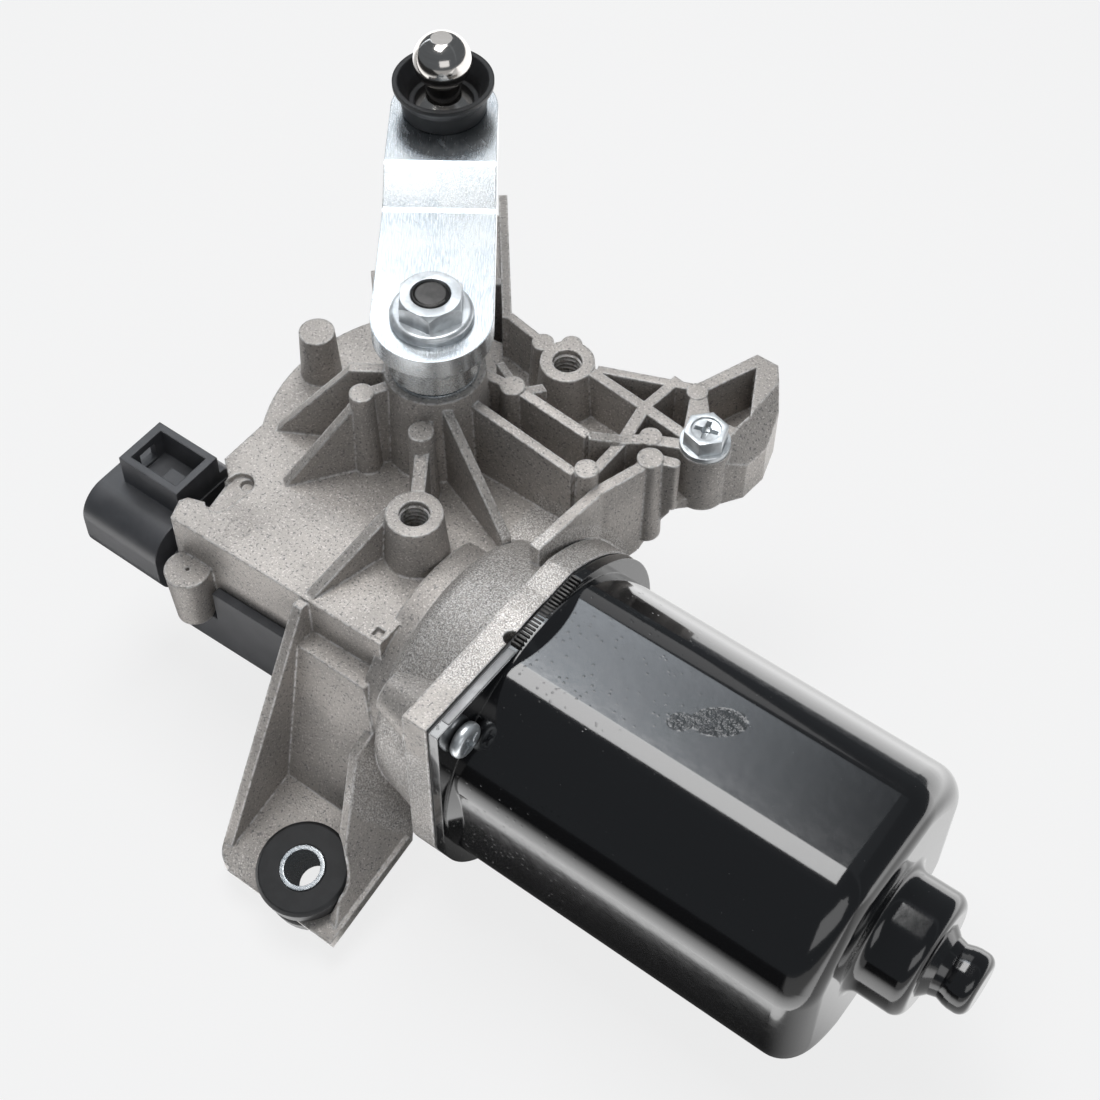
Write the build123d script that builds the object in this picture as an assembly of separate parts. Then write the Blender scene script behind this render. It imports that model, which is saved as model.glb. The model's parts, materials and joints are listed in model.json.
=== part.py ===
from build123d import *
import math
import os

# Windscreen wiper motor: a wound armature in a pressed steel can drives a worm, the worm
# turns a gear wheel in a ribbed die-cast case, and the wheel's shaft carries the crank arm.
# Every piece is drawn about the output shaft's axis, with z = 0 on top of the two threaded
# bosses. write_parts moves them all so that the origin is midway between those bosses.
# All sizes are in millimetres and all angles in degrees.

# Gear pair
MODULE = 1.2
WHEEL_TEETH = 44
GEAR_CENTRES = 31.1
WHEEL_WIDTH = 9.0
WORM_HALF_LENGTH = 11.5
PRESSURE_ANGLE = 20.0
BACKLASH = 0.6

# Motor axis, which lies along X below the bosses
MOTOR_DROP = 37.0

# Running and seating clearances
RUN = 0.05
SEAT = 0.1
FREE = 0.3
SLIP = 0.02

# Gear case
CASE_WALL = 3.0
PLATE_TOP = -13.3
PLATE_THICK = 3.0
CASE_RIM = -47.0
RIM_RADIUS = 40.5
BOWL_RADIUS = 33.0
CASE_LEFT = 35.1
CASE_FRONT = 52.4
CASE_RIGHT = 24.8
NOTCH_DEPTH = 5.7
NOTCH_REACH = 19.4
RIM_END_ANGLE = 132.0
TOWER_RADIUS = 11.1
TOWER_TOP = 12.0
TOWER_DRAFT = 0.9
HUB_BOTTOM = -25.0
RIB_THICK = 2.4

# Threaded bosses that carry the linkage bracket
BOSS_RADIUS = 6.2
BOSS_FOOT = 7.3
BOSS_REACH = 31.4
BOSS_ANGLE = 60.0
THREAD_BORE = 3.35
THREAD_DEPTH = 12.0

# Can
CAN_RADIUS = 34.5
FLAT_DEPTH = 2.4
CAN_FLAT = CAN_RADIUS - FLAT_DEPTH
CAN_WALL = 2.0
CAN_FLANGE = 2.2
CAN_LENGTH = 88.2
CAN_EDGE = 7.0
CREASE_ROUND = 12.0
FLAT_START = 2.7
FLAT_RAMP = 2.5
CUP_EDGE = 3.0
CUP_FOOT = 2.5
CUP_RADIUS = 14.2
CUP_LENGTH = 12.5
NUB_RADIUS = 7.0
WAIST_RADIUS = 6.3
NUB_LENGTH = 10.3

# Bell of the case and flange of the can
NECK_RADIUS = 27.0
NECK_START = 23.0
NECK_END = 28.5
BELL_START_RADIUS = 30.2
BELL_END_STEP = 0.3
BELL_END_RADIUS = CAN_RADIUS - BELL_END_STEP
FLANGE_X = 50.0
BELL_FLANGE = 6.0
FLANGE_NEAR_EDGE = 3.1
FLANGE_TOP_EDGE = 1.7
FLANGE_ROUND_EDGE = 4.0
FLANGE_NEAR = CAN_FLAT + FLANGE_NEAR_EDGE
FLANGE_TOP = CAN_FLAT + FLANGE_TOP_EDGE
FLANGE_ROUND = CAN_RADIUS + FLANGE_ROUND_EDGE
FLANGE_SHIFT_Y = 2.0
FLANGE_SHIFT_Z = -3.0
CORNER_SCREW_IN = 6.1
CORNER_SCREW_DOWN = 8.3
CORNER_SCREW_Y = CORNER_SCREW_IN - CAN_RADIUS
CORNER_SCREW_Z = CAN_RADIUS - CORNER_SCREW_DOWN
CORNER_LUG = 7.0
SEAL_THICK = 0.8

# Armature
SHAFT_RADIUS = 4.0
JOURNAL_RADIUS = 3.1
CORE_RADIUS = 23.3
CORE_LENGTH = 52.0
CORE_START = 67.0
SLOTS = 12
SLOT_WIDTH = 3.0
SLOT_FLOOR = 13.0
MAGNET_THICK = 7.3
MAGNET_HALF_ANGLE = 18.0
COMMUTATOR_RADIUS = 11.5
COMMUTATOR_START = 38.0
COMMUTATOR_LENGTH = 17.0
BEARING_RADIUS = 11.0
BEARING_WIDTH = 7.0
END_BUSH_RADIUS = 7.0
END_BUSH_WIDTH = 7.0

# Brush gear
BRUSH_PLATE_RADIUS = 27.6
BRUSH_PLATE_THICK = 2.4
BRUSH_WIDE = 7.0
BRUSH_HIGH = 5.0
BRUSH_LONG = 9.0
BRUSH_BOX_WALL = 1.0
SPRING_WIRE = 0.35
SPRING_RADIUS = 1.9
SPRING_TURNS = 3

# Output shaft, crank arm and ball stud
OUT_RADIUS = 6.0
OUT_BOTTOM = -44.6
ARM_SEAT_RADIUS = 5.2
ARM_ANGLE = 125.8
ARM_RADIUS = 59.0
ARM_THICK = 5.0
ARM_LOW_TOP = 27.3
ARM_RISE = 6.0
ARM_BEND_START = 31.7
ARM_BEND_RUN = 9.0
ARM_HUB_HALF = 13.0
ARM_END_HALF = 12.1
SPACER_RADIUS = 10.0
THREAD_RADIUS = 4.0
THREAD_END = 34.2
NUT_FLANGE_RADIUS = 8.95
NUT_FLATS = 13.0
BALL_RADIUS = 6.5
BALL_LIFT = 13.1
STUD_NECK = 4.0
STUD_COLLAR = 6.6
BOOT_LIP = 11.4
BOOT_BASE = 9.5
BOOT_HEIGHT = 7.7
BOOT_WALL = 1.6

# Mounting feet with rubber grommets
FOOT_TILT = 15.0
FOOT_THICK = 3.0
LEG_PLATE = 2.5
WEB_THIN = 2.2
NEAR_FOOT = (24.3, -80.4, -71.3)
FAR_FOOT_X = -50.3
FAR_FOOT_Y = 62.5
GROMMET_RADIUS = 11.0
GROMMET_GROOVE = 7.6
GROMMET_HEIGHT = 13.0
SLEEVE_OUTER = 5.2
SLEEVE_BORE = 4.2

# Cover and connector
COVER_THICK = 2.6
GASKET_THICK = 0.8
SKIRT_TOP = -30.0
SKIRT_THICK = 2.2
SKIRT_RIGHT = 3.0
SOCKET_END = -59.0
SOCKET_Y = -42.0
SOCKET_Z = -31.5
SOCKET_WIDE = 30.0
SOCKET_HIGH = 19.5
SOCKET_ROUND = 7.0
SOCKET_WALL = 1.8
SOCKET_FLOOR = -42.0
LATCH_X = (-54.4, -36.9)
LATCH_Y = (-46.8, -33.6)
LATCH_TOP = -13.6
FAIRING_RADIUS = 4.2
PIN_COUNT = 5
PIN_PITCH = 4.6
PIN_WIDE = 2.0
PIN_THICK = 0.8
PIN_END = -37.0

# Parking contacts
DISC_THICK = 0.6
DISC_MARGIN = 4.0
HUB_RADIUS = 10.5
FINGER_RADII = (13.0, 17.0, 20.6)
FINGER_THICK = 0.5
FINGER_HALF = 1.0

# Earth screw and cover screws
LUG_SCREW = (53.9, 25.7)
LUG_RADIUS = 5.7
LUG_DEPTH = 16.0
COVER_SCREW_BORE = 1.7
COVER_HEAD_RADIUS = 3.2
COVER_HEAD_HIGH = 2.2
COVER_SCREW_LONG = 10.0
CAN_HEAD_RADIUS = 4.1
CAN_HEAD_HIGH = 3.0
CAN_SCREW_LONG = 9.5
POST_RADIUS = 3.8
POST_HEIGHT = 16.0

# Plain boss on the front wall, beside the connector
SIDE_BOSS = (-27.4, -55.6)
SIDE_BOSS_RADIUS = 5.2
SIDE_BOSS_LOW = -39.5
SIDE_BOSS_TOP = -24.0

MOTOR_Y = -GEAR_CENTRES
MOTOR_Z = -MOTOR_DROP
WHEEL_RADIUS = MODULE * WHEEL_TEETH / 2
WORM_RADIUS = GEAR_CENTRES - WHEEL_RADIUS
BOSS_X = BOSS_REACH * math.cos(math.radians(BOSS_ANGLE))
BOSS_Y = BOSS_REACH * math.sin(math.radians(BOSS_ANGLE))
PLATE_UNDER = PLATE_TOP - PLATE_THICK
CAN_START = FLANGE_X + SEAL_THICK
CAN_END = CAN_START + CAN_LENGTH
CUP_END = CAN_END + CUP_LENGTH
NUB_END = CUP_END + NUB_LENGTH
BEARING_START = NECK_START + 2.0
BELL_FLOOR = BEARING_START + BEARING_WIDTH
END_BUSH_X = -WORM_HALF_LENGTH - 6.0
COVER_TOP = CASE_RIM - GASKET_THICK
COVER_BOTTOM = COVER_TOP - COVER_THICK
ARM_LOW_UNDER = ARM_LOW_TOP - ARM_THICK
ARM_HIGH_TOP = ARM_LOW_TOP + ARM_RISE
BALL_Z = ARM_HIGH_TOP + BALL_LIFT
MOTOR_AXIS = Plane(origin=(0, MOTOR_Y, MOTOR_Z), x_dir=(0, 1, 0), z_dir=(1, 0, 0))


def rod(radius, low, high, x=0.0, y=0.0):
    """A vertical cylinder between two heights."""
    return Pos(x, y, (low + high) / 2) * Cylinder(radius, high - low)


def taper(low_radius, high_radius, low, high, x=0.0, y=0.0):
    """A vertical cone between two heights."""
    return Pos(x, y, (low + high) / 2) * Cone(low_radius, high_radius, high - low)


def block(x_range, y_range, z_range):
    """A box from its three ranges."""
    sides = [b - a for a, b in (x_range, y_range, z_range)]
    middle = [(a + b) / 2 for a, b in (x_range, y_range, z_range)]
    return Pos(*middle) * Box(*sides)


def turned(points):
    """A solid of revolution about Z from (radius, height) points."""
    return revolve(Plane.XZ * make_face(Polyline(*points, close=True)), Axis.Z)


def on_motor(shape):
    """Carry a shape drawn about Z on to the motor axis: its Z runs along +X."""
    return MOTOR_AXIS.location * shape


def plate(points, growth):
    """A flat plate from 3-D corner points in one plane, grown by a vector."""
    face = Face(Wire(Polyline(*points, close=True).edges()))
    return Solid.extrude(face, Vector(*growth))


def rib(start, end, top_start, top_end, foot=PLATE_TOP - 1.0, thickness=RIB_THICK):
    """An upright web between two plan points, with its own height at each end."""
    length = math.dist(start, end)
    along = ((end[0] - start[0]) / length, (end[1] - start[1]) / length, 0)
    side = Plane(origin=(start[0], start[1], 0), x_dir=along, z_dir=(along[1], -along[0], 0))
    outline = Polyline((0, foot), (length, foot), (length, top_end), (0, top_start), close=True)
    return extrude(side * make_face(outline), thickness / 2, both=True)


def polar(radius, angle):
    """Plan point from a radius and an angle about the output shaft."""
    return (radius * math.cos(math.radians(angle)), radius * math.sin(math.radians(angle)))


def foot_frame(x, y, z):
    """Place of a mounting foot: its Z is the bolt's axis, leaning towards the near side."""
    return Location((x, y, z), (FOOT_TILT, 0, 0))


def foot_height(y, above=0.0):
    """Height of the feet's common underside at a place across the motor."""
    slope = math.tan(math.radians(FOOT_TILT))
    lean = math.cos(math.radians(FOOT_TILT))
    base = NEAR_FOOT[2] + slope * (y - NEAR_FOOT[1])
    return base + (above - FOOT_THICK / 2) / lean


def foot_growth():
    """Thickness of a foot's floor as a vector along the bolt's axis."""
    lean = math.radians(FOOT_TILT)
    return (0, -FOOT_THICK * math.sin(lean), FOOT_THICK * math.cos(lean))


def foot_places():
    """The two feet, both on one tilted plane."""
    far = (FAR_FOOT_X, FAR_FOOT_Y, foot_height(FAR_FOOT_Y, FOOT_THICK / 2))
    return [foot_frame(*NEAR_FOOT), foot_frame(*far)]


def case_face(notched=True):
    """Plan outline of the gear case, with or without the notch beside the connector."""
    right_y = -math.sqrt(BOWL_RADIUS**2 - CASE_RIGHT**2)
    left_y = -math.sqrt(RIM_RADIUS**2 - CASE_LEFT**2)
    far = polar(BOWL_RADIUS, 94)
    rim_end = polar(RIM_RADIUS, RIM_END_ANGLE)
    nose = (-CASE_LEFT + 1.8, -CASE_FRONT)
    nose_side = (-CASE_LEFT, -CASE_FRONT + 4.6)
    left = [(-CASE_LEFT, left_y), nose_side]
    if notched:
        left[1:1] = [
            (-CASE_LEFT, -CASE_FRONT + NOTCH_REACH),
            (-CASE_LEFT + NOTCH_DEPTH - 1.5, -CASE_FRONT + NOTCH_REACH - 3.2),
            (-CASE_LEFT + NOTCH_DEPTH, -CASE_FRONT + 8.0),
            (-CASE_LEFT + 1.0, -CASE_FRONT + 6.4),
        ]
    edges = [
        Line(nose, (CASE_RIGHT, -CASE_FRONT + 1.5)),
        Line((CASE_RIGHT, -CASE_FRONT + 1.5), (CASE_RIGHT, right_y)),
        ThreePointArc((CASE_RIGHT, right_y), polar(BOWL_RADIUS, 30), far),
        Line(far, rim_end),
        ThreePointArc(rim_end, (-RIM_RADIUS, 0), (-CASE_LEFT, left_y)),
        *[Line(left[i], left[i + 1]) for i in range(len(left) - 1)],
        Line(nose_side, nose),
    ]
    return Face(Wire(edges))


def lugged_slab(grow, low, high, notched=True):
    """The case outline with its round ears for the cover screws."""
    shape = case_slab(grow, low, high, notched)
    for x, y in cover_screw_places():
        shape += rod(POST_RADIUS + grow, low, high, x, y)
    return shape - neck_room()


def neck_room():
    """Room that the bell needs where it dips below the case's rim."""
    neck = rod(NECK_RADIUS + FREE, NECK_START - FREE, NECK_END + 1.0)
    swell = rod(BELL_END_RADIUS + 1.0, NECK_END - FREE, FLANGE_X)
    return on_motor(neck + swell)


def case_slab(grow, low, high, notched=True):
    """The case outline, grown or shrunk, between two heights."""
    face = case_face(notched)
    if grow:
        face = offset(face, grow)
    return Pos(0, 0, low) * extrude(face, high - low)


def flange_face(inset=0.0):
    """Outline of the joint between case and can, about the motor axis."""
    near = FLANGE_NEAR - inset
    top = FLANGE_TOP - inset
    round_part = Pos(FLANGE_SHIFT_Y, FLANGE_SHIFT_Z) * Circle(FLANGE_ROUND - inset)
    corner = Pos(-near / 2, top / 2) * Rectangle(near, top)
    far_corner = Pos(-CORNER_SCREW_Y, -CORNER_SCREW_Z) * Circle(CORNER_LUG + 2 - inset)
    window = Pos(50 - near, top - 50) * Rectangle(100, 100)
    return (round_part + corner + far_corner) & window


def corner_screw_places():
    """Both can screws, on one diagonal of the joint."""
    return [(CORNER_SCREW_Y, CORNER_SCREW_Z), (-CORNER_SCREW_Y, -CORNER_SCREW_Z)]


def bell():
    """Neck and bell that grow from the case to the can, hollow for the brush gear."""
    shoulder = (BELL_START_RADIUS + 1.0, NECK_END + 3.6)
    skirt = (BELL_END_RADIUS, FLANGE_X - BELL_FLANGE)
    side = [
        Line((0, NECK_START), (NECK_RADIUS, NECK_START)),
        Line((NECK_RADIUS, NECK_START), (NECK_RADIUS, NECK_END)),
        ThreePointArc((NECK_RADIUS, NECK_END), (BELL_START_RADIUS - 0.7, NECK_END + 1.2), shoulder),
        Line(shoulder, skirt),
        Line(skirt, (BELL_END_RADIUS, FLANGE_X)),
        Line((BELL_END_RADIUS, FLANGE_X), (0, FLANGE_X)),
        Line((0, FLANGE_X), (0, NECK_START)),
    ]
    outer = revolve(Plane.XZ * Face(Wire(side)), Axis.Z)
    rim = Pos(0, 0, FLANGE_X - BELL_FLANGE) * extrude(flange_face(), BELL_FLANGE)
    shape = outer + rim
    for y, z in corner_screw_places():
        shape += taper(CORNER_LUG - 2.5, CORNER_LUG, BELL_FLOOR + 3.0, FLANGE_X - BELL_FLANGE, y, z)
    return on_motor(shape)


def bell_hollow():
    """What is cut out of the bell: brush chamber, bearing seat and shaft hole."""
    chamber = turned([
        (0, BELL_FLOOR),
        (BRUSH_PLATE_RADIUS + SEAT, BELL_FLOOR),
        (BRUSH_PLATE_RADIUS + SEAT, BELL_FLOOR + 6.0),
        (CAN_RADIUS - 4.0, BELL_FLOOR + 8.0),
        (CAN_RADIUS - 4.0, FLANGE_X + 1.0),
        (0, FLANGE_X + 1.0),
    ])
    seat = rod(BEARING_RADIUS + SEAT / 2, BEARING_START, BELL_FLOOR + 1.0)
    hole = rod(JOURNAL_RADIUS + 3.0, NECK_START - 6.0, BEARING_START + 1.0)
    shape = chamber + seat + hole
    for y, z in corner_screw_places():
        shape += rod(COVER_SCREW_BORE, FLANGE_X - 9.0, FLANGE_X + 1.0, y, z)
    return on_motor(shape)


def radial_ribs():
    """Ribs that brace the shaft tower against the plate."""
    root = TOWER_RADIUS - 1.5
    ribs = []
    # left front rib, level to its knee and then down to the plate
    ribs.append(rib(polar(root, 211), polar(19.0, 211), 10.0, 9.4))
    ribs.append(rib(polar(18.6, 211), polar(37.4, 210.5), 9.4, PLATE_TOP - 0.5))
    # front rib with a round knee
    ribs.append(rib(polar(root, 239), polar(16.8, 239), 10.4, 10.0))
    ribs.append(rib(polar(16.6, 239), polar(36.5, 236.5), 10.0, PLATE_TOP - 0.5))
    ribs.append(taper(3.3, 2.7, PLATE_TOP - 1, 10.3, *polar(16.8, 239)))
    # web to the near threaded boss
    ribs.append(rib(polar(root, -63), polar(BOSS_REACH - BOSS_RADIUS + 1, -60.6), 7.6, -1.0, thickness=3.0))
    ribs.append(taper(3.4, 2.8, PLATE_TOP - 1, 7.8, *polar(15.2, -63)))
    # rib from the near threaded boss down to the front wall
    ribs.append(rib((BOSS_X - 5.4, -BOSS_Y - 1.6), (4.6, -CASE_FRONT + 1.4), -1.0, PLATE_TOP - 0.4, thickness=2.6))
    return ribs


def bell_ribs():
    """Two ribs that run from the tower to the bell and to the front wall."""
    ribs = [rib((8.6, -6.8), (31.0, -15.3), 10.0, -9.0, thickness=2.2)]
    ribs.append(rib((9.6, -0.4), (37.6, -0.2), 8.0, 3.6, thickness=2.2))
    ribs.append(taper(3.1, 2.6, PLATE_TOP - 1, 4.0, 39.3, 2.0))
    ribs.append(rib((37.6, -0.2), (39.6, 2.2), 3.6, 3.6, thickness=2.2))
    joint = (14.7, 11.2)
    knee = (33.5, 10.5)
    ribs.append(rib((5.2, 9.6), joint, 5.2, 3.8))
    ribs.append(rib(joint, knee, 3.8, 2.8))
    ribs.append(rib(knee, (38.6, 15.4), 2.8, 0.6))
    ribs.append(taper(3.3, 2.8, PLATE_TOP - 1, 4.3, 12.6, 11.0))
    ribs.append(rib(joint, (17.4, 16.4), 3.4, 2.0))
    ribs.append(rib((3.4, 18.4), joint, -1.0, 3.0, thickness=1.8))
    return ribs


def truss_ribs():
    """The lattice between the far threaded boss, the screw lug and the horn."""
    low = PLATE_TOP - 1.0
    upper_post = (44.1, 37.2)
    node = (37.3, 26.6)
    ribs = []
    ribs.append(rib((22.4, 29.4), (43.4, 38.2), 0, 0, thickness=2.0))
    ribs.append(rib((22.0, 28.0), node, 0, 0, thickness=2.4))
    ribs.append(rib(node, (49.5, 25.2), 0, 0, thickness=2.6))
    ribs.append(rib((38.6, 38.0), node, 0, 0, thickness=2.4))
    ribs.append(rib(node, (39.1, 16.1), 0, 0, thickness=2.8))
    ribs.append(rib((39.1, 16.1), (39.4, 3.6), 0, 0.6, thickness=2.4))
    ribs.append(rib((37.4, 14.2), (43.3, 19.6), 0.6, 0, thickness=2.6))
    ribs.append(rib((43.3, 19.6), (49.6, 22.6), 0, 0, thickness=2.8))
    ribs.append(taper(2.9, 2.4, low, 0.2, *upper_post))
    ribs.append(taper(3.0, 2.5, low, 0.2, 43.3, 20.3))
    return ribs


def outer_wall():
    """Wall that runs from the bell round the post to the screw lug."""
    line = [(41.2, -19.0), (43.0, 1.5), (46.3, 11.6), (46.5, 15.5), (51.6, 17.4)]
    feet = [-32.0, -30.0, -28.0, -26.0, PLATE_UNDER + 0.6]
    walls = []
    for i in range(len(line) - 1):
        start = Plane(origin=(line[i][0], line[i][1], 0))
        length = math.dist(line[i], line[i + 1])
        angle = math.degrees(math.atan2(line[i + 1][1] - line[i][1], line[i + 1][0] - line[i][0]))
        outline = Polyline((0, feet[i]), (length, feet[i + 1]), (length, 0), (0, 0), close=True)
        side = start.location * Rot(0, 0, angle) * Rot(90, 0, 0)
        walls.append(side * extrude(make_face(outline), 1.3, both=True))
        walls.append(rod(1.3, feet[i + 1] + 0.8, 0, *line[i + 1]))
    walls.append(taper(3.4, 2.9, -25.0, 0.3, 46.8, 15.2))
    return walls


def horn():
    """Locating horn beyond the screw lug: a pocket between a thin and a thick wall."""
    outline = [
        (42.2, 38.0), (43.4, 41.0), (48.6, 54.6), (54.2, 54.6),
        (60.6, 45.5), (63.2, 37.0), (62.6, 30.0), (58.0, 23.0), (48.0, 26.0),
    ]
    body = Pos(0, 0, PLATE_UNDER) * extrude(make_face(Polyline(*outline, close=True)), -PLATE_UNDER)
    pocket = [(45.6, 38.6), (50.6, 51.2), (57.2, 38.6), (56.6, 33.6), (50.4, 33.0)]
    hole = Pos(0, 0, PLATE_TOP) * extrude(make_face(Polyline(*pocket, close=True)), 20)
    slope = extrude(Plane.XZ.offset(-60) * make_face(Polyline((56, 1), (70, 1), (70, -12), close=True)), 50)
    return body - hole - slope


def truss_plate():
    """Thin floor under the lattice."""
    outline = [
        (12.0, 24.0), (14.0, 32.0), (24.0, 30.4), (43.4, 39.2), (50.0, 36.0),
        (58.0, 24.0), (51.6, 17.4), (46.5, 15.5), (46.3, 11.6), (43.0, 1.5), (41.2, -19.0), (26.0, -19.0),
    ]
    return Pos(0, 0, PLATE_UNDER) * extrude(make_face(Polyline(*outline, close=True)), PLATE_THICK)


def near_leg():
    """Channel-shaped leg at the near side, from the case wall down to its foot."""
    left = 3.0
    right_top = (28.0, -64.8, -37.4)
    tip_y = NEAR_FOOT[1] - 9.0
    foot_right = NEAR_FOOT[0] + GROMMET_RADIUS + 3.2
    tip = (foot_right, tip_y, foot_height(tip_y))
    heel = (foot_right, -61.0, foot_height(-61.0))
    wall_y = -CASE_FRONT + 3.0
    left_web = plate([
        (left, wall_y, PLATE_TOP - 0.6),
        (left, -CASE_FRONT - 1.2, PLATE_TOP - 0.6),
        (left, tip_y + 3.0, foot_height(tip_y + 3.0) + 2.0),
        (left, tip_y + 4.5, foot_height(tip_y + 4.5)),
        (left, -61.0, foot_height(-61.0)),
        (left, wall_y, -40.0),
    ], (LEG_PLATE, 0, 0))
    right_web = slanted_web(right_top, tip, heel)
    floor = plate([
        (left, tip_y, foot_height(tip_y)),
        (foot_right, tip_y, foot_height(tip_y)),
        (foot_right, -61.0, foot_height(-61.0)),
        (left, -61.0, foot_height(-61.0)),
    ], foot_growth())
    corner = block((left - 8, left + 5), (tip_y - 5, tip_y + 4), (-90, -60))
    corner -= rod(5.0, -90, -60, left + 5, tip_y + 5)
    back = plate([
        (left, wall_y, -24.0),
        (left, -CASE_FRONT - 4.0, -24.0),
        (left, -66.2, foot_height(-66.2)),
        (left, -61.0, foot_height(-61.0)),
        (left, wall_y, -36.0),
    ], (foot_right - left, 0, 0))
    outside = outside_of(right_top, tip, heel)
    return (left_web + (floor - corner) + (back - outside)) + right_web


def web_normal(first, second, third):
    """Unit normal of the plane through three points."""
    u = Vector(*second) - Vector(*first)
    v = Vector(*third) - Vector(*first)
    return u.cross(v).normalized()


def slanted_web(top, tip, heel):
    """Right-hand web of the near leg: it leans outwards from the bell to the foot."""
    normal = web_normal(top, tip, heel)
    inner_top = Vector(top[0] - 1.4, -52.0, -33.0)
    inner_top -= normal * (inner_top - Vector(*top)).dot(normal)
    low_back = Vector(heel[0] - 8.0, -52.0, -52.0)
    low_back -= normal * (low_back - Vector(*top)).dot(normal)
    corners = [Vector(*top), Vector(*tip), Vector(*heel), low_back, inner_top]
    face = Face(Wire(Polyline(*corners, close=True).edges()))
    inward = normal if normal.X < 0 else -normal
    return Solid.extrude(face, inward * LEG_PLATE)


def outside_of(top, tip, heel):
    """Space beyond the slanted web, which trims the leg's back wall."""
    normal = web_normal(top, tip, heel)
    outward = normal if normal.X > 0 else -normal
    side = Plane(origin=top, z_dir=outward)
    return side.location * Pos(0, 0, 60 - 0.2) * Box(240, 240, 120)


def across(start, end, thickness):
    """A level vector square to a plan line, to its left for a positive thickness."""
    length = math.dist(start, end)
    return (-(end[1] - start[1]) / length * thickness, (end[0] - start[0]) / length * thickness, 0)


def far_leg():
    """Leg beyond the crank arm, hidden below it from the front."""
    base = polar(BOWL_RADIUS - 2.5, 94.5)
    tip = (FAR_FOOT_X + 9.2, FAR_FOOT_Y + 16.3)
    left_base = polar(RIM_RADIUS - 2.8, 148.0)
    left_tip = (FAR_FOOT_X - 0.7, FAR_FOOT_Y - 26.0)
    right_web = plate([
        (*base, 0.0),
        (*tip, foot_height(tip[1]) + 10.0),
        (*tip, foot_height(tip[1])),
        (*base, foot_height(base[1])),
    ], across(base, tip, WEB_THIN))
    left_web = plate([
        (*left_base, -9.0),
        (*left_tip, -19.5),
        (*left_tip, foot_height(left_tip[1])),
        (*left_base, foot_height(left_base[1])),
    ], across(left_base, left_tip, -WEB_THIN))
    floor = plate([
        (*base, foot_height(base[1])),
        (*tip, foot_height(tip[1])),
        (tip[0] - 14.0, tip[1] - 4.0, foot_height(tip[1] - 4.0)),
        (FAR_FOOT_X - 10.0, FAR_FOOT_Y - 8.0, foot_height(FAR_FOOT_Y - 8.0)),
        (*left_tip, foot_height(left_tip[1])),
        (*left_base, foot_height(left_base[1])),
    ], foot_growth())
    cross = plate([
        (-14.5, 45.2, -6.2),
        (-40.5, 26.0, -13.0),
        (-40.5, 26.0, foot_height(26.0) + 1),
        (-14.5, 45.2, foot_height(45.2) + 1),
    ], across((-14.5, 45.2), (-40.5, 26.0), WEB_THIN))
    pad = foot_places()[1] * Cylinder(GROMMET_RADIUS + 2.0, FOOT_THICK)
    return right_web + left_web + floor + cross + pad


def case_bosses():
    """Threaded bosses, plain pillars and the screw lug on the plate."""
    low = PLATE_TOP - 1.0
    solids = [taper(BOSS_FOOT, BOSS_RADIUS, low, 0, BOSS_X, s * BOSS_Y) for s in (-1, 1)]
    solids.append(taper(4.8, 4.1, low, 0, -35.0, 0.2))
    solids.append(rod(LUG_RADIUS, -LUG_DEPTH, 0, *LUG_SCREW))
    solids.append(taper(3.4, 2.5, low, 0, 7.8, 28.6))
    solids.append(rib((-3.2, 30.6), (7.8, 28.7), 0, 0, thickness=2.0))
    solids.append(rib((7.8, 28.6), (12.5, 28.4), 0, 0, thickness=2.4))
    solids.append(rod(2.4, low, 0, BOSS_X - 2.4, BOSS_Y + 4.9))
    x, y = SIDE_BOSS
    solids.append(taper(SIDE_BOSS_RADIUS - 0.9, SIDE_BOSS_RADIUS, SIDE_BOSS_LOW, SIDE_BOSS_TOP, x, y))
    half = SIDE_BOSS_RADIUS - 1.0
    solids.append(block((x - half, x + half), (y, -CASE_FRONT + 2.4), (SIDE_BOSS_LOW + 1.0, SIDE_BOSS_TOP - 1.5)))
    return solids


def inner_walls():
    """Casting inside the bowl: the worm's far bearing block and the shaft hub."""
    bearing = block(
        (END_BUSH_X - END_BUSH_WIDTH, END_BUSH_X),
        (MOTOR_Y - 10.0, MOTOR_Y + 9.0),
        (CASE_RIM, PLATE_UNDER + 1.0),
    )
    hub = rod(TOWER_RADIUS + 0.8, HUB_BOTTOM, PLATE_UNDER + 1.0)
    return [bearing, hub]


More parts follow.
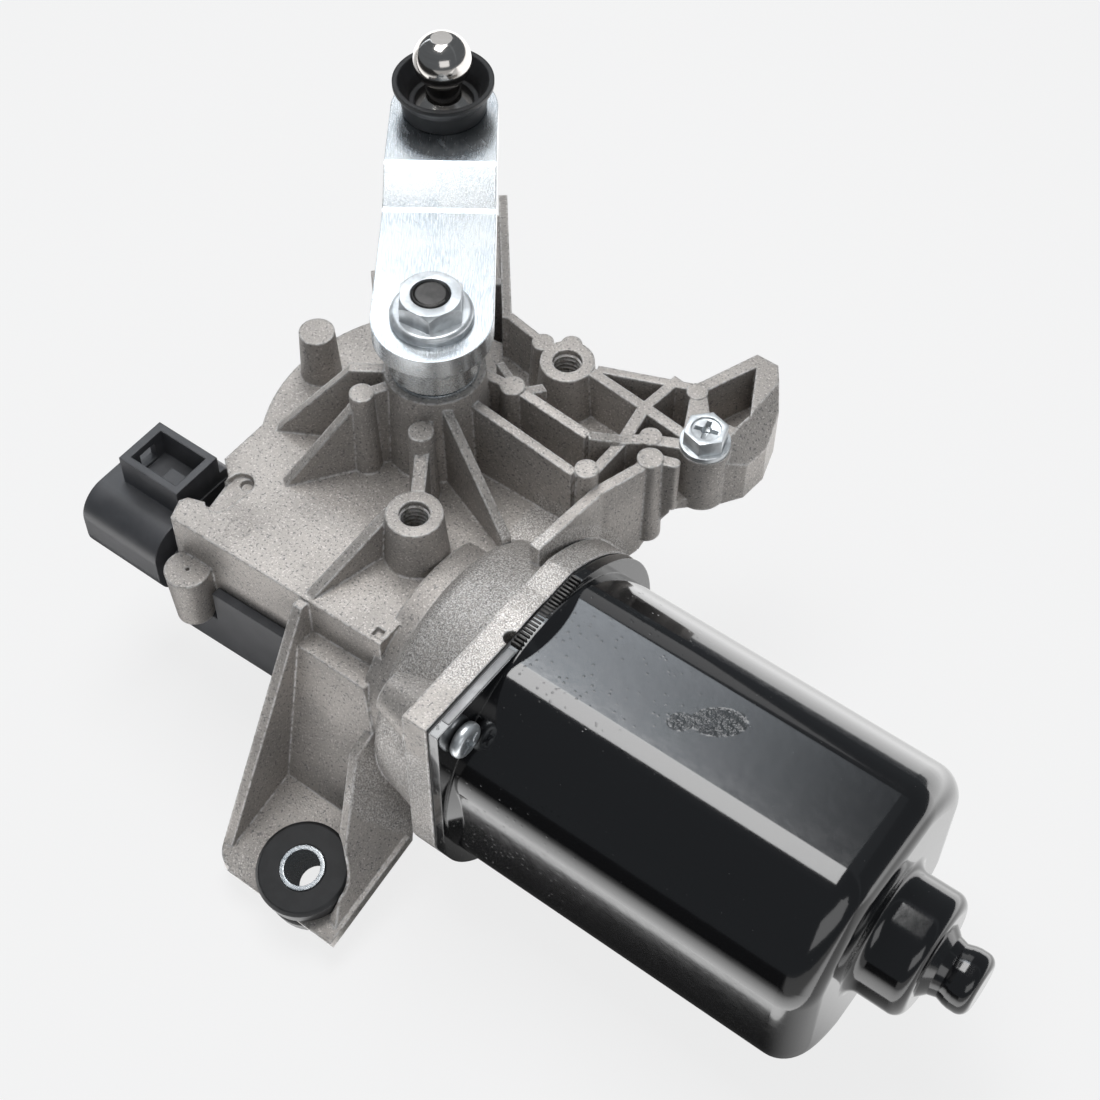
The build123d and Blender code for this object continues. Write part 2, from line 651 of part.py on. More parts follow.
def case_holes():
    """Every hole and recess in the casting."""
    holes = [rod(OUT_RADIUS + 2.5, HUB_BOTTOM - 1, TOWER_TOP + 1)]
    for side in (-1, 1):
        holes.append(rod(THREAD_BORE, -THREAD_DEPTH, 1, BOSS_X, side * BOSS_Y))
    holes.append(rod(2.1, -LUG_DEPTH - 1, 1, *LUG_SCREW))
    holes.append(rod(0.5, SIDE_BOSS_TOP - 1.2, SIDE_BOSS_TOP + 1.0, *SIDE_BOSS))
    slot_x = -CASE_LEFT + NOTCH_DEPTH + 1.7
    slot_y = -CASE_FRONT + 13.0
    holes.append(Pos(slot_x, slot_y, PLATE_TOP) * Rot(0, 0, 84) * extrude(SlotCenterToCenter(6.6, 6.0), -1.5))
    holes.append(rod(1.5, PLATE_TOP - 2.6, PLATE_TOP + 1, slot_x + 0.8, slot_y + 4.6))
    pit_x = CASE_RIGHT - 2.2
    pit_y = -CASE_FRONT + 3.8
    holes.append(block((pit_x - 1.1, pit_x + 1.1), (pit_y - 1.1, pit_y + 1.1), (PLATE_TOP - 1.2, PLATE_TOP + 1)))
    holes.append(on_motor(rod(END_BUSH_RADIUS + SEAT / 2, END_BUSH_X - END_BUSH_WIDTH + 1.0, END_BUSH_X + 1)))
    flange_top = MOTOR_Z + FLANGE_TOP
    holes.append(rod(1.8, flange_top - 4.0, flange_top + 1, FLANGE_X, -38.3))
    for x, y in cover_screw_places():
        holes.append(rod(COVER_SCREW_BORE, CASE_RIM - 1, CASE_RIM + 9, x, y))
    for place in foot_places():
        holes.append(place * Cylinder(GROMMET_GROOVE + SEAT, 30))
        above = FOOT_THICK / 2 + 15.0 / 2
        holes.append(place * Pos(0, 0, above) * Cylinder(GROMMET_RADIUS + FREE, 15.0))
    return holes


def cover_screw_places():
    """Screws that hold the cover to the case rim."""
    round_side = [polar(RIM_RADIUS - 4.5, angle) for angle in (150, 196)]
    far_side = [polar(BOWL_RADIUS + 2.0, angle) for angle in (66, 16)]
    front = [(-CASE_LEFT + 4.5, -CASE_FRONT + 4.2), (CASE_RIGHT - 7.2, -CASE_FRONT + 4.2)]
    return round_side + far_side + front


def cover_screw_posts():
    """Posts at the rim of the case that take the cover screws."""
    return [rod(POST_RADIUS, CASE_RIM, CASE_RIM + POST_HEIGHT, x, y) for x, y in cover_screw_places()]


def gear_case():
    """Die-cast case: bowl, shaft tower, ribs, bell, legs and bosses in one piece."""
    shape = case_slab(0, CASE_RIM, PLATE_TOP) + bell()
    tower = taper(TOWER_RADIUS + TOWER_DRAFT, TOWER_RADIUS, PLATE_TOP - 1, TOWER_TOP)
    shape += [tower, truss_plate(), horn(), near_leg(), far_leg(), worm_bead()]
    shape += case_bosses() + radial_ribs() + bell_ribs() + truss_ribs() + outer_wall()
    shape -= case_slab(-CASE_WALL, CASE_RIM - 5, PLATE_UNDER)
    shape += inner_walls() + cover_screw_posts()
    shape -= wheel_room()
    shape -= bell_hollow()
    for hole in case_holes():
        shape -= hole
    return shape


def wheel_room():
    """Room that the gear wheel needs inside the case."""
    return rod(BOWL_RADIUS - CASE_WALL, CASE_RIM - 1, MOTOR_Z + WHEEL_WIDTH / 2 + 4.0)


def worm_bead():
    """Half-round swelling along the front wall, towards the bell."""
    y = -CASE_FRONT + 0.6
    bead = Pos(16.7, y, -32.0) * Rot(0, 90, 0) * Cone(2.4, 3.8, 26.4)
    return bead


def gear_cover():
    """Moulded cover under the case, with a skirt at the near side and the connector socket."""
    floor = lugged_slab(0, COVER_BOTTOM, COVER_TOP, False)
    skirt = case_slab(FREE + SKIRT_THICK, COVER_BOTTOM, SKIRT_TOP, False)
    skirt -= case_slab(FREE, COVER_BOTTOM - 1, SKIRT_TOP + 1, False)
    skirt &= block((-60, SKIRT_RIGHT - FREE), (-70, -14), (-60, -20))
    x = SIDE_BOSS[0]
    half = SIDE_BOSS_RADIUS + FREE
    skirt -= block((x - half, x + half), (-CASE_FRONT - 20, -CASE_FRONT), (SIDE_BOSS_LOW - FREE, SKIRT_TOP + 1))
    base = case_slab(FREE + SKIRT_THICK, COVER_BOTTOM, COVER_TOP - 0.2, False)
    base &= block((-60, SKIRT_RIGHT - FREE), (-70, -14), (-60, -20))
    shape = floor + skirt + base + socket_body() + latch_box() - socket_cavity() + socket_key()
    for slot in pin_slots():
        shape -= slot
    for x, y in cover_screw_places():
        shape -= rod(COVER_SCREW_BORE + 0.4, COVER_BOTTOM - 1, COVER_TOP + 1, x, y)
    stem = rod(5.6, COVER_BOTTOM - 2.4, COVER_BOTTOM + 0.5)
    return shape + stem


def socket_tube(inset, depth):
    """Rounded bar that starts at the mouth of the connector socket."""
    section = RectangleRounded(SOCKET_WIDE - 2 * inset, SOCKET_HIGH - 2 * inset, SOCKET_ROUND - inset)
    mouth = Plane(origin=(SOCKET_END, SOCKET_Y, SOCKET_Z), x_dir=(0, 1, 0), z_dir=(1, 0, 0))
    return extrude(mouth * section, depth)


def socket_body():
    """Outside of the connector socket, from its mouth to the cover's skirt."""
    return socket_tube(0, -CASE_LEFT - FREE - SKIRT_THICK / 2 - SOCKET_END)


def socket_cavity():
    """Room for the plug, open towards -X."""
    return socket_tube(SOCKET_WALL, SOCKET_FLOOR - SOCKET_END)


def socket_key():
    """Rib on the socket's lower wall that lets the plug in one way round."""
    bed = SOCKET_Z - SOCKET_HIGH / 2 + SOCKET_WALL
    return block((SOCKET_END, SOCKET_FLOOR), (SOCKET_Y + 5.4, SOCKET_Y + 7.0), (bed - 0.4, bed + 2.0))


def pin_slots():
    """Slots through the socket's floor for the blade terminals."""
    half_wide = PIN_WIDE / 2 + SEAT / 2
    half_thick = PIN_THICK / 2 + SEAT / 2
    low = SOCKET_Z - half_thick
    high = SOCKET_Z + half_thick
    return [block((SOCKET_FLOOR - 1, PIN_END + SEAT), (y - half_wide, y + half_wide), (low, high)) for y in pin_places()]


def latch_box():
    """Raised open box on the socket that the plug's latch snaps into."""
    foot = SOCKET_Z + SOCKET_HIGH / 2 - 2.0
    body = block(LATCH_X, LATCH_Y, (foot, LATCH_TOP))
    body -= block(
        (LATCH_X[0] + 2.0, LATCH_X[1] - 1.8),
        (LATCH_Y[0] + 1.8, LATCH_Y[1] - 1.8),
        (foot + 2.6, LATCH_TOP + 1),
    )
    middle = (LATCH_Y[0] + LATCH_Y[1]) / 2
    body -= block((LATCH_X[0] - 1, LATCH_X[0] + 3), (middle - 2.4, middle + 2.4), (foot + 3.4, LATCH_TOP - 2.0))
    ledge = block((LATCH_X[0] + 7.5, LATCH_X[1] - 1), (LATCH_Y[0] + 1, middle + 1.5), (foot + 2, foot + 4.4))
    length = LATCH_X[1] - LATCH_X[0] - 2.4
    fairing = Rot(0, 90, 0) * Cylinder(FAIRING_RADIUS, length)
    fairing = Pos(LATCH_X[1] - length / 2, LATCH_Y[1], foot + 0.6) * fairing
    return body + ledge + (fairing - block(LATCH_X, LATCH_Y, (foot + 1, LATCH_TOP)))


def pin_places():
    """Places across the socket of its blade terminals."""
    first = SOCKET_Y - PIN_PITCH * (PIN_COUNT - 1) / 2
    return [first + PIN_PITCH * i for i in range(PIN_COUNT)]


def terminals():
    """Blade terminals: each runs from the socket through its floor into the cover."""
    blades = []
    for y in pin_places():
        blades.append(block((SOCKET_FLOOR - 11.5, PIN_END),
                            (y - PIN_WIDE / 2, y + PIN_WIDE / 2),
                            (SOCKET_Z - PIN_THICK / 2, SOCKET_Z + PIN_THICK / 2)))
    return Compound(blades)


def cover_gasket():
    """Flat gasket between the case rim and the cover."""
    band = lugged_slab(-0.2, COVER_TOP, CASE_RIM)
    band -= case_slab(-CASE_WALL + 0.2, COVER_TOP - 1, CASE_RIM + 1)
    for x, y in cover_screw_places():
        band += rod(POST_RADIUS - 0.2, COVER_TOP, CASE_RIM, x, y)
    for x, y in cover_screw_places():
        band -= rod(COVER_SCREW_BORE + 0.4, COVER_TOP - 1, CASE_RIM + 1, x, y)
    return band


def pan_screw(head_radius, head_high, shank, length):
    """Pan-head screw: its seat at z = 0, the head above and the shank below."""
    edge = (head_radius, head_high * 0.5)
    head = turned([(0, 0), (head_radius, 0), edge, (head_radius * 0.7, head_high), (0, head_high)])
    return head + rod(shank, -length, 0.01)


def cover_screws():
    """Screws that hold the cover, with their heads below it."""
    screw = pan_screw(COVER_HEAD_RADIUS, COVER_HEAD_HIGH, COVER_SCREW_BORE - 0.05, COVER_SCREW_LONG)
    screw = Rot(180, 0, 0) * screw
    return Compound([Pos(x, y, COVER_BOTTOM) * screw for x, y in cover_screw_places()])


def can_screws():
    """Pan-head screws that pull the can on to the bell."""
    screw = pan_screw(CAN_HEAD_RADIUS, CAN_HEAD_HIGH, COVER_SCREW_BORE - 0.05, CAN_SCREW_LONG)
    seat = CAN_START + CAN_FLANGE
    return Compound([on_motor(Pos(y, z, seat) * screw) for y, z in corner_screw_places()])


def earth_screw():
    """Hexagon-head screw with its own flange in the outer lug."""
    head = turned([(0, 0), (LUG_RADIUS - 0.1, 0), (LUG_RADIUS - 0.1, 0.8), (4.9, 1.6), (0, 1.6)])
    hexagon = Pos(0, 0, 1.2) * extrude(RegularPolygon(5.0, 6), 4.0)
    crown = turned([(0, 0), (5.6, 0), (5.6, 4.4), (4.4, 5.2), (0, 5.2)])
    shank = rod(2.05, -12.0, 0.1)
    return Pos(*LUG_SCREW, 0) * (head + (hexagon & crown) + shank)


def can_section(radius, flat, crease):
    """Round section with four flats and rounded creases between them."""
    face = (Circle(radius) & Rectangle(2 * flat, 2 * flat)).face()
    return fillet(face.vertices(), crease)


def can_solid(radius, flat, start, end, edge, crease):
    """Round body with four flats and a rounded end, about Z."""
    body = Pos(0, 0, start) * extrude(can_section(radius, flat, crease), end - start)
    rim = body.edges().filter_by(lambda e: abs(e.center().Z - end) < 0.01)
    body = fillet(rim, edge)
    first = CAN_START + FLAT_START
    collar = turned([(0, start), (radius, start), (radius, first), (flat, first + FLAT_RAMP), (0, first + FLAT_RAMP)])
    return body + collar


def motor_can():
    """Deep-drawn can with its flange, the bearing cup and the closed nose."""
    body = can_solid(CAN_RADIUS, CAN_FLAT, CAN_START, CAN_END, CAN_EDGE, CREASE_ROUND)
    cup = turned([
        (0, CAN_END - 4), (CUP_RADIUS, CAN_END - 4), (CUP_RADIUS, CUP_END), (NUB_RADIUS + 1.6, CUP_END),
        (WAIST_RADIUS + 0.5, CUP_END + 1.8), (WAIST_RADIUS, CUP_END + 3.6), (NUB_RADIUS - 0.2, CUP_END + 5.2),
        (NUB_RADIUS, CUP_END + 6.4), (NUB_RADIUS, NUB_END), (0, NUB_END),
    ])
    shape = body + cup
    foot = shape.edges().filter_by(GeomType.CIRCLE).filter_by(
        lambda e: abs(e.radius - CUP_RADIUS) < 0.01 and abs(e.center().Z - CAN_END) < 0.01)
    shape = fillet(foot, CUP_FOOT)
    lip = shape.edges().filter_by(GeomType.CIRCLE).filter_by(
        lambda e: abs(e.radius - CUP_RADIUS) < 0.01 and abs(e.center().Z - CUP_END) < 0.01)
    shape = fillet(lip, CUP_EDGE)
    tip = shape.edges().filter_by(GeomType.CIRCLE).filter_by(lambda e: abs(e.center().Z - NUB_END) < 0.01)
    shape = fillet(tip, 2.4)
    flange = Pos(0, 0, CAN_START) * extrude(flange_face(), CAN_FLANGE)
    hollow = can_solid(CAN_RADIUS - CAN_WALL, CAN_FLAT - CAN_WALL, CAN_START - 1, CAN_END - CAN_WALL,
                       CAN_EDGE - CAN_WALL, CREASE_ROUND - CAN_WALL)
    hollow += rod(CUP_RADIUS - CAN_WALL, CAN_END - 6, CUP_END - CAN_WALL)
    hollow += rod(SHAFT_RADIUS + 0.9, CUP_END - 4, NUB_END - 3.0)
    shape = shape + flange - hollow
    for y, z in corner_screw_places():
        shape -= rod(COVER_SCREW_BORE + 0.3, CAN_START - 1, CAN_START + CAN_FLANGE + 1, y, z)
    return on_motor(shape)


def joint_seal():
    """Thin seal between the bell's flange and the can's."""
    ring = Pos(0, 0, FLANGE_X) * extrude(flange_face(0.4), SEAL_THICK)
    ring -= rod(CAN_RADIUS - 3.0, FLANGE_X - 1, CAN_START + 1)
    for y, z in corner_screw_places():
        ring -= rod(COVER_SCREW_BORE + 0.3, FLANGE_X - 1, CAN_START + 1, y, z)
    return on_motor(ring)


def magnet_segment():
    """One field magnet, an arc that fits between two flats of the can."""
    outer = CAN_RADIUS - CAN_WALL - SEAT
    inner = outer - MAGNET_THICK
    length = CORE_LENGTH + 12.0
    ring = Cylinder(outer, length) - Cylinder(inner, length + 2)
    a = MAGNET_HALF_ANGLE
    wedge = Polyline((0, 0), polar(60, 45 - a), polar(80, 45), polar(60, 45 + a), close=True)
    sector = extrude(make_face(wedge), length, both=True)
    return Pos(0, 0, CORE_START + CORE_LENGTH / 2) * (ring & sector)


def field_magnets():
    """Four magnets in the rounded corners of the can."""
    segment = magnet_segment()
    return Compound([on_motor(Rot(0, 0, 90 * i) * segment) for i in range(4)])


def bearing(bore, radius, start, width):
    """Closed ball bearing: two rings and a shield between them."""
    ring = rod(radius, start, start + width) - rod(bore, start - 1, start + width + 1)
    groove = rod(radius - 1.8, 0, 0.4) - rod(bore + 1.8, -1, 2)
    return ring - Pos(0, 0, start + width - 0.4) * groove - Pos(0, 0, start) * groove


def front_bearing():
    """Ball bearing in the neck of the case."""
    return on_motor(bearing(SHAFT_RADIUS + RUN, BEARING_RADIUS, BEARING_START, BEARING_WIDTH))


def rear_bearing():
    """Ball bearing in the cup of the can."""
    start = CAN_END + 1.0
    return on_motor(bearing(SHAFT_RADIUS + RUN, CUP_RADIUS - CAN_WALL - SEAT / 2, start, BEARING_WIDTH + 1))


def end_bush():
    """Sintered bush that steadies the worm's far end."""
    bush = rod(END_BUSH_RADIUS, END_BUSH_X - END_BUSH_WIDTH + 1.0 + SEAT, END_BUSH_X)
    bush -= rod(JOURNAL_RADIUS + RUN, END_BUSH_X - END_BUSH_WIDTH - 1, END_BUSH_X + 1)
    return on_motor(bush)


def thrust_pad():
    """Hard pad in the can's nose that takes the shaft's end load."""
    return on_motor(rod(SHAFT_RADIUS + 0.8, NUB_END - 4.0, NUB_END - 3.0))


def worm_thread():
    """The worm's one right-handed thread, a trapezoid swept along a helix about Z."""
    pitch = math.pi * MODULE
    tip = WORM_RADIUS + MODULE
    root = WORM_RADIUS - 1.2 * MODULE - 0.3
    slope = math.tan(math.radians(PRESSURE_ANGLE))
    half = pitch / 4 - BACKLASH / 4
    tip_half = half - (tip - WORM_RADIUS) * slope
    root_half = half - (root - WORM_RADIUS) * slope
    path = Helix(pitch, 2 * WORM_HALF_LENGTH, WORM_RADIUS)
    outline = Polyline((root, -root_half), (tip, -tip_half), (tip, tip_half), (root, root_half), close=True)
    thread = sweep(Plane.XZ * make_face(outline), path=path, is_frenet=True)
    start = -WORM_HALF_LENGTH
    return Pos(0, 0, start) * Rot(0, 0, 360 * start / pitch) * thread


def armature_shaft():
    """Armature shaft with its worm cut on the gearbox end."""
    start = -WORM_HALF_LENGTH
    root = WORM_RADIUS - 1.2 * MODULE
    tail = END_BUSH_X - END_BUSH_WIDTH + 2.0
    neck = start - 1.0
    side = turned([
        (0, tail), (JOURNAL_RADIUS - 0.4, tail), (JOURNAL_RADIUS, tail + 0.4), (JOURNAL_RADIUS, neck),
        (root, neck + root - JOURNAL_RADIUS), (root, -start + 1.6), (SHAFT_RADIUS, -start + 3.0),
        (SHAFT_RADIUS, NUB_END - 5.0), (SHAFT_RADIUS - 0.9, NUB_END - 4.0 - SEAT), (0, NUB_END - 4.0 - SEAT),
    ])
    return on_motor(side + worm_thread())


def armature_core():
    """Stack of laminations with open slots."""
    core = rod(CORE_RADIUS, CORE_START, CORE_START + CORE_LENGTH)
    core -= rod(SHAFT_RADIUS + SLIP, CORE_START - 1, CORE_START + CORE_LENGTH + 1)
    for i in range(SLOTS):
        slot = block((SLOT_FLOOR, CORE_RADIUS + 1), (-SLOT_WIDTH / 2, SLOT_WIDTH / 2),
                     (CORE_START - 1, CORE_START + CORE_LENGTH + 1))
        core -= Rot(0, 0, 360 * i / SLOTS) * slot
    return on_motor(core)


def windings():
    """Copper windings: the bars in the slots and the turns over both ends."""
    fit = 0.15
    head = 7.0
    shape = None
    for low in (CORE_START - head, CORE_START + CORE_LENGTH):
        coil = turned([(SLOT_FLOOR - 4, low), (CORE_RADIUS - 4, low), (CORE_RADIUS - 2.4, low + head / 2),
                       (CORE_RADIUS - 4, low + head), (SLOT_FLOOR - 4, low + head)])
        shape = coil if shape is None else shape + coil
    for i in range(SLOTS):
        bar = block((SLOT_FLOOR + fit, CORE_RADIUS - 2.6), (-SLOT_WIDTH / 2 + fit, SLOT_WIDTH / 2 - fit),
                    (CORE_START - 1, CORE_START + CORE_LENGTH + 1))
        shape += Rot(0, 0, 360 * i / SLOTS) * bar
    return on_motor(shape)


def commutator():
    """Commutator with its risers towards the core."""
    end = COMMUTATOR_START + COMMUTATOR_LENGTH
    shape = turned([
        (SHAFT_RADIUS + SLIP, COMMUTATOR_START), (COMMUTATOR_RADIUS, COMMUTATOR_START),
        (COMMUTATOR_RADIUS, end - 2.5), (COMMUTATOR_RADIUS + 2, end - 2.5), (COMMUTATOR_RADIUS + 2, end),
        (SHAFT_RADIUS + SLIP, end),
    ])
    for i in range(SLOTS):
        cut = block((COMMUTATOR_RADIUS - 1.0, COMMUTATOR_RADIUS + 3), (-0.3, 0.3), (COMMUTATOR_START - 1, end + 1))
        shape -= Rot(0, 0, 360 * (i + 0.5) / SLOTS) * cut
    return on_motor(shape)


def brush_middle():
    """Place of the brushes along the motor axis."""
    return COMMUTATOR_START + BRUSH_WIDE / 2 + 3.0


def brush_outer():
    """Radius at which a brush ends and its spring begins."""
    return COMMUTATOR_RADIUS + SEAT + BRUSH_LONG


def brush_holder():
    """Moulded plate in the bell with a box for each brush."""
    floor = BELL_FLOOR
    shape = rod(BRUSH_PLATE_RADIUS, floor, floor + BRUSH_PLATE_THICK)
    shape -= rod(COMMUTATOR_RADIUS + 2.0, floor - 1, floor + BRUSH_PLATE_THICK + 1)
    wall = BRUSH_BOX_WALL
    middle = brush_middle()
    for side in (0, 180):
        box = block((COMMUTATOR_RADIUS + 1.2, BRUSH_PLATE_RADIUS - 0.4),
                    (-BRUSH_HIGH / 2 - wall - SEAT, BRUSH_HIGH / 2 + wall + SEAT),
                    (floor + BRUSH_PLATE_THICK - 0.5, middle + BRUSH_WIDE / 2 + wall + SEAT))
        box -= block((COMMUTATOR_RADIUS, BRUSH_PLATE_RADIUS - 0.4 - wall),
                     (-BRUSH_HIGH / 2 - SEAT, BRUSH_HIGH / 2 + SEAT),
                     (middle - BRUSH_WIDE / 2 - SEAT, middle + BRUSH_WIDE / 2 + SEAT))
        shape += Rot(0, 0, side) * box
    return on_motor(shape)


def brushes():
    """Two carbon brushes that bear on the commutator."""
    middle = brush_middle()
    brush = block((COMMUTATOR_RADIUS - 1, brush_outer()), (-BRUSH_HIGH / 2, BRUSH_HIGH / 2),
                  (middle - BRUSH_WIDE / 2, middle + BRUSH_WIDE / 2))
    brush -= rod(COMMUTATOR_RADIUS + RUN, COMMUTATOR_START - 2, COMMUTATOR_START + 20)
    return Compound([on_motor(Rot(0, 0, side) * brush) for side in (0, 180)])


def brush_springs():
    """Coil springs that press the brushes in."""
    inner = brush_outer() + 2 * SPRING_WIRE
    outer = BRUSH_PLATE_RADIUS - 0.4 - BRUSH_BOX_WALL - SPRING_WIRE
    coil = Helix((outer - inner) / SPRING_TURNS, outer - inner, SPRING_RADIUS)
    start = Plane(origin=coil @ 0, z_dir=coil % 0)
    spring = sweep(start * Rectangle(2 * SPRING_WIRE, 2 * SPRING_WIRE), path=coil, is_frenet=True)
    spring = Pos(inner, 0, brush_middle()) * Rot(0, 90, 0) * spring
    return Compound([on_motor(Rot(0, 0, side) * spring) for side in (0, 180)])


def noise_chokes():
    """Two choke coils that stand on the brush plate."""
    low = BELL_FLOOR + BRUSH_PLATE_THICK
    coil = rod(3.0, low, low + 9.0)
    return Compound([on_motor(Pos(*polar(20.5, angle), 0) * coil) for angle in (60, 240)])


def shaft_bushes():
    """Sintered bushes of the output shaft, at both ends of its tower."""
    outer = OUT_RADIUS + 2.5 - SEAT / 2
    solids = []
    for low, high in ((HUB_BOTTOM, HUB_BOTTOM + 13), (TOWER_TOP - 3.2 - 13, TOWER_TOP - 3.2)):
        solids.append(rod(outer, low, high) - rod(OUT_RADIUS + RUN, low - 1, high + 1))
    return Compound(solids)


def shaft_seal():
    """Rubber ring round the shaft at the mouth of the tower."""
    outer = OUT_RADIUS + 2.5 - SEAT
    inner = OUT_RADIUS + SEAT
    low = TOWER_TOP - 2.6
    return turned([
        (inner + 0.4, low), (outer, low), (outer, low + 1.9), (inner + 0.9, low + 1.9),
        (inner, low + 1.4), (inner, low + 0.5),
    ])


def tower_washer():
    """Steel washer on top of the tower."""
    return rod(SPACER_RADIUS - 0.3, TOWER_TOP, TOWER_TOP + 0.8) - rod(OUT_RADIUS + RUN * 3, TOWER_TOP - 1, TOWER_TOP + 2)


def output_shaft():
    """Output shaft: gear seat, long journal, tapered arm seat and threaded end."""
    groove = OUT_BOTTOM + 1.2
    return turned([
        (0, OUT_BOTTOM), (OUT_RADIUS - 0.8, OUT_BOTTOM), (OUT_RADIUS, OUT_BOTTOM + 0.6), (OUT_RADIUS, groove),
        (OUT_RADIUS - 0.9, groove), (OUT_RADIUS - 0.9, groove + 1.0), (OUT_RADIUS, groove + 1.0),
        (OUT_RADIUS, ARM_LOW_UNDER - 1.0), (ARM_SEAT_RADIUS, ARM_LOW_UNDER - 0.4),
        (ARM_SEAT_RADIUS, ARM_LOW_TOP - 0.6), (THREAD_RADIUS, ARM_LOW_TOP - 0.2),
        (THREAD_RADIUS, THREAD_END - 0.8), (THREAD_RADIUS - 0.8, THREAD_END), (0, THREAD_END),
    ])


def wheel_tooth_section():
    """Plan outline of the gear wheel at one height."""
    tip = WHEEL_RADIUS + MODULE
    root = WHEEL_RADIUS - 1.25 * MODULE
    slope = math.tan(math.radians(PRESSURE_ANGLE))

    def half_angle(radius):
        half_width = math.pi * MODULE / 4 - BACKLASH / 4 - (radius - WHEEL_RADIUS) * slope
        return math.degrees(half_width / radius)

    points = []
    for i in range(WHEEL_TEETH):
        middle = -90 + 360 * (i + 0.5) / WHEEL_TEETH
        for radius, side in ((root, -1), (tip, -1), (tip, 1), (root, 1)):
            points.append(polar(radius, middle + side * half_angle(radius)))
    return make_face(Polyline(*points, close=True))


def worm_wheel():
    """Moulded gear wheel: helical teeth, a thin web with ribs and a long hub."""
    lead = math.degrees(math.atan2(MODULE / 2, WORM_RADIUS))
    twist = math.degrees(WHEEL_WIDTH * math.tan(math.radians(lead)) / WHEEL_RADIUS)
    section = Rot(0, 0, -twist / 2) * wheel_tooth_section()
    rim = Solid.extrude_linear_with_rotation(section.face(), (0, 0, 0), (0, 0, WHEEL_WIDTH), twist)
    low = MOTOR_Z - WHEEL_WIDTH / 2
    high = MOTOR_Z + WHEEL_WIDTH / 2
    shape = Pos(0, 0, low) * rim
    root = WHEEL_RADIUS - 1.25 * MODULE
    web = rod(root - 2.6, low - 1, low + 3.0) - rod(HUB_RADIUS - 0.5, low - 2, low + 4)
    top_web = rod(root - 2.6, low + 5.6, high + 1) - rod(HUB_RADIUS - 0.5, low + 5, high + 2)
    shape = shape - web - top_web
    for i in range(6):
        spoke = block((HUB_RADIUS - 1.5, root - 2.0), (-0.9, 0.9), (low + 0.6, high - 0.6))
        shape += Rot(0, 0, 60 * i) * spoke
    shape += rod(HUB_RADIUS, low, HUB_BOTTOM - 1.0)
    return shape - rod(OUT_RADIUS + SLIP, low - 2, HUB_BOTTOM + 2)


def hub_washer():
    """Thrust washer between the wheel's hub and the case."""
    top = HUB_BOTTOM - SEAT
    return rod(9.0, top - 0.8, top) - rod(OUT_RADIUS + RUN, top - 2, top + 1)


def shaft_clip():
    """Retaining clip in the shaft's groove below the wheel."""
    low = OUT_BOTTOM + 1.25
    ring = rod(8.6, low, low + 0.9) - rod(OUT_RADIUS - 0.85, low - 1, low + 2)
    return ring - block((0, 12), (-2.6, 2.6), (low - 1, low + 2))


def park_disc():
    """Contact disc under the wheel that the parking fingers wipe."""
    top = MOTOR_Z - WHEEL_WIDTH / 2
    disc = rod(WHEEL_RADIUS - DISC_MARGIN, top - DISC_THICK, top) - rod(HUB_RADIUS + SEAT, top - 2, top + 1)
    gap = Polyline((14, -2), polar(30, -16), polar(30, 16), (14, 2), close=True)
    return disc - Pos(0, 0, top - DISC_THICK / 2) * extrude(make_face(gap), 2, both=True)


def contact_fingers():
    """Spring fingers that wipe the park disc."""
    top = MOTOR_Z - WHEEL_WIDTH / 2 - DISC_THICK - SEAT
    fingers = []
    for radius in FINGER_RADII:
        across_finger = (-radius - FINGER_HALF, -radius + FINGER_HALF)
        strip = block((-28.0, -3.0), across_finger, (COVER_TOP, COVER_TOP + FINGER_THICK))
        riser = block((-5.0, -3.0), across_finger, (COVER_TOP, top))
        fingers.append(strip + riser)
    return Compound(fingers)


def arm_outline():
    """Plan outline of the crank arm, along +X from the shaft."""
    reach = ARM_RADIUS
    side_angle = math.degrees(math.asin((ARM_HUB_HALF - ARM_END_HALF) / reach))
    hub = [polar(ARM_HUB_HALF, 90 - side_angle), polar(ARM_HUB_HALF, side_angle - 90)]
    end = [polar(ARM_END_HALF, 90 - side_angle), polar(ARM_END_HALF, side_angle - 90)]
    end = [(reach + x, y) for x, y in end]
    edges = [
        Line(hub[0], end[0]),
        ThreePointArc(end[0], (reach + ARM_END_HALF, 0), end[1]),
        Line(end[1], hub[1]),
        ThreePointArc(hub[1], (-ARM_HUB_HALF, 0), hub[0]),
    ]
    return Face(Wire(edges))


def crank_arm():
    """Pressed steel crank arm with a step in it."""
    a = ARM_BEND_START
    b = ARM_BEND_START + ARM_BEND_RUN
    far = ARM_RADIUS + 2 * ARM_END_HALF
    near = -2 * ARM_HUB_HALF
    under_shift = 1.6
    profile = Polyline(
        (near, ARM_LOW_UNDER), (a + under_shift, ARM_LOW_UNDER), (b + under_shift, ARM_LOW_UNDER + ARM_RISE),
        (far, ARM_LOW_UNDER + ARM_RISE), (far, ARM_HIGH_TOP), (b, ARM_HIGH_TOP), (a, ARM_LOW_TOP), (near, ARM_LOW_TOP),
        close=True,
    )
    strip = extrude(Plane.XZ * make_face(profile), 30, both=True)
    bends = [e for e in strip.edges() if abs(e.center().Y) < 0.01 and a - 1 < e.center().X < b + 3]
    strip = fillet(bends, 2.0)
    column = extrude(arm_outline(), ARM_THICK + ARM_RISE + 10, dir=(0, 0, 1))
    shape = strip & (Pos(0, 0, ARM_LOW_UNDER - 5) * column)
    shape -= rod(ARM_SEAT_RADIUS + RUN, ARM_LOW_UNDER - 1, ARM_LOW_TOP + 1)
    shape -= rod(STUD_NECK + RUN, ARM_LOW_UNDER, ARM_HIGH_TOP + 1, ARM_RADIUS, 0)
    return Rot(0, 0, ARM_ANGLE) * shape


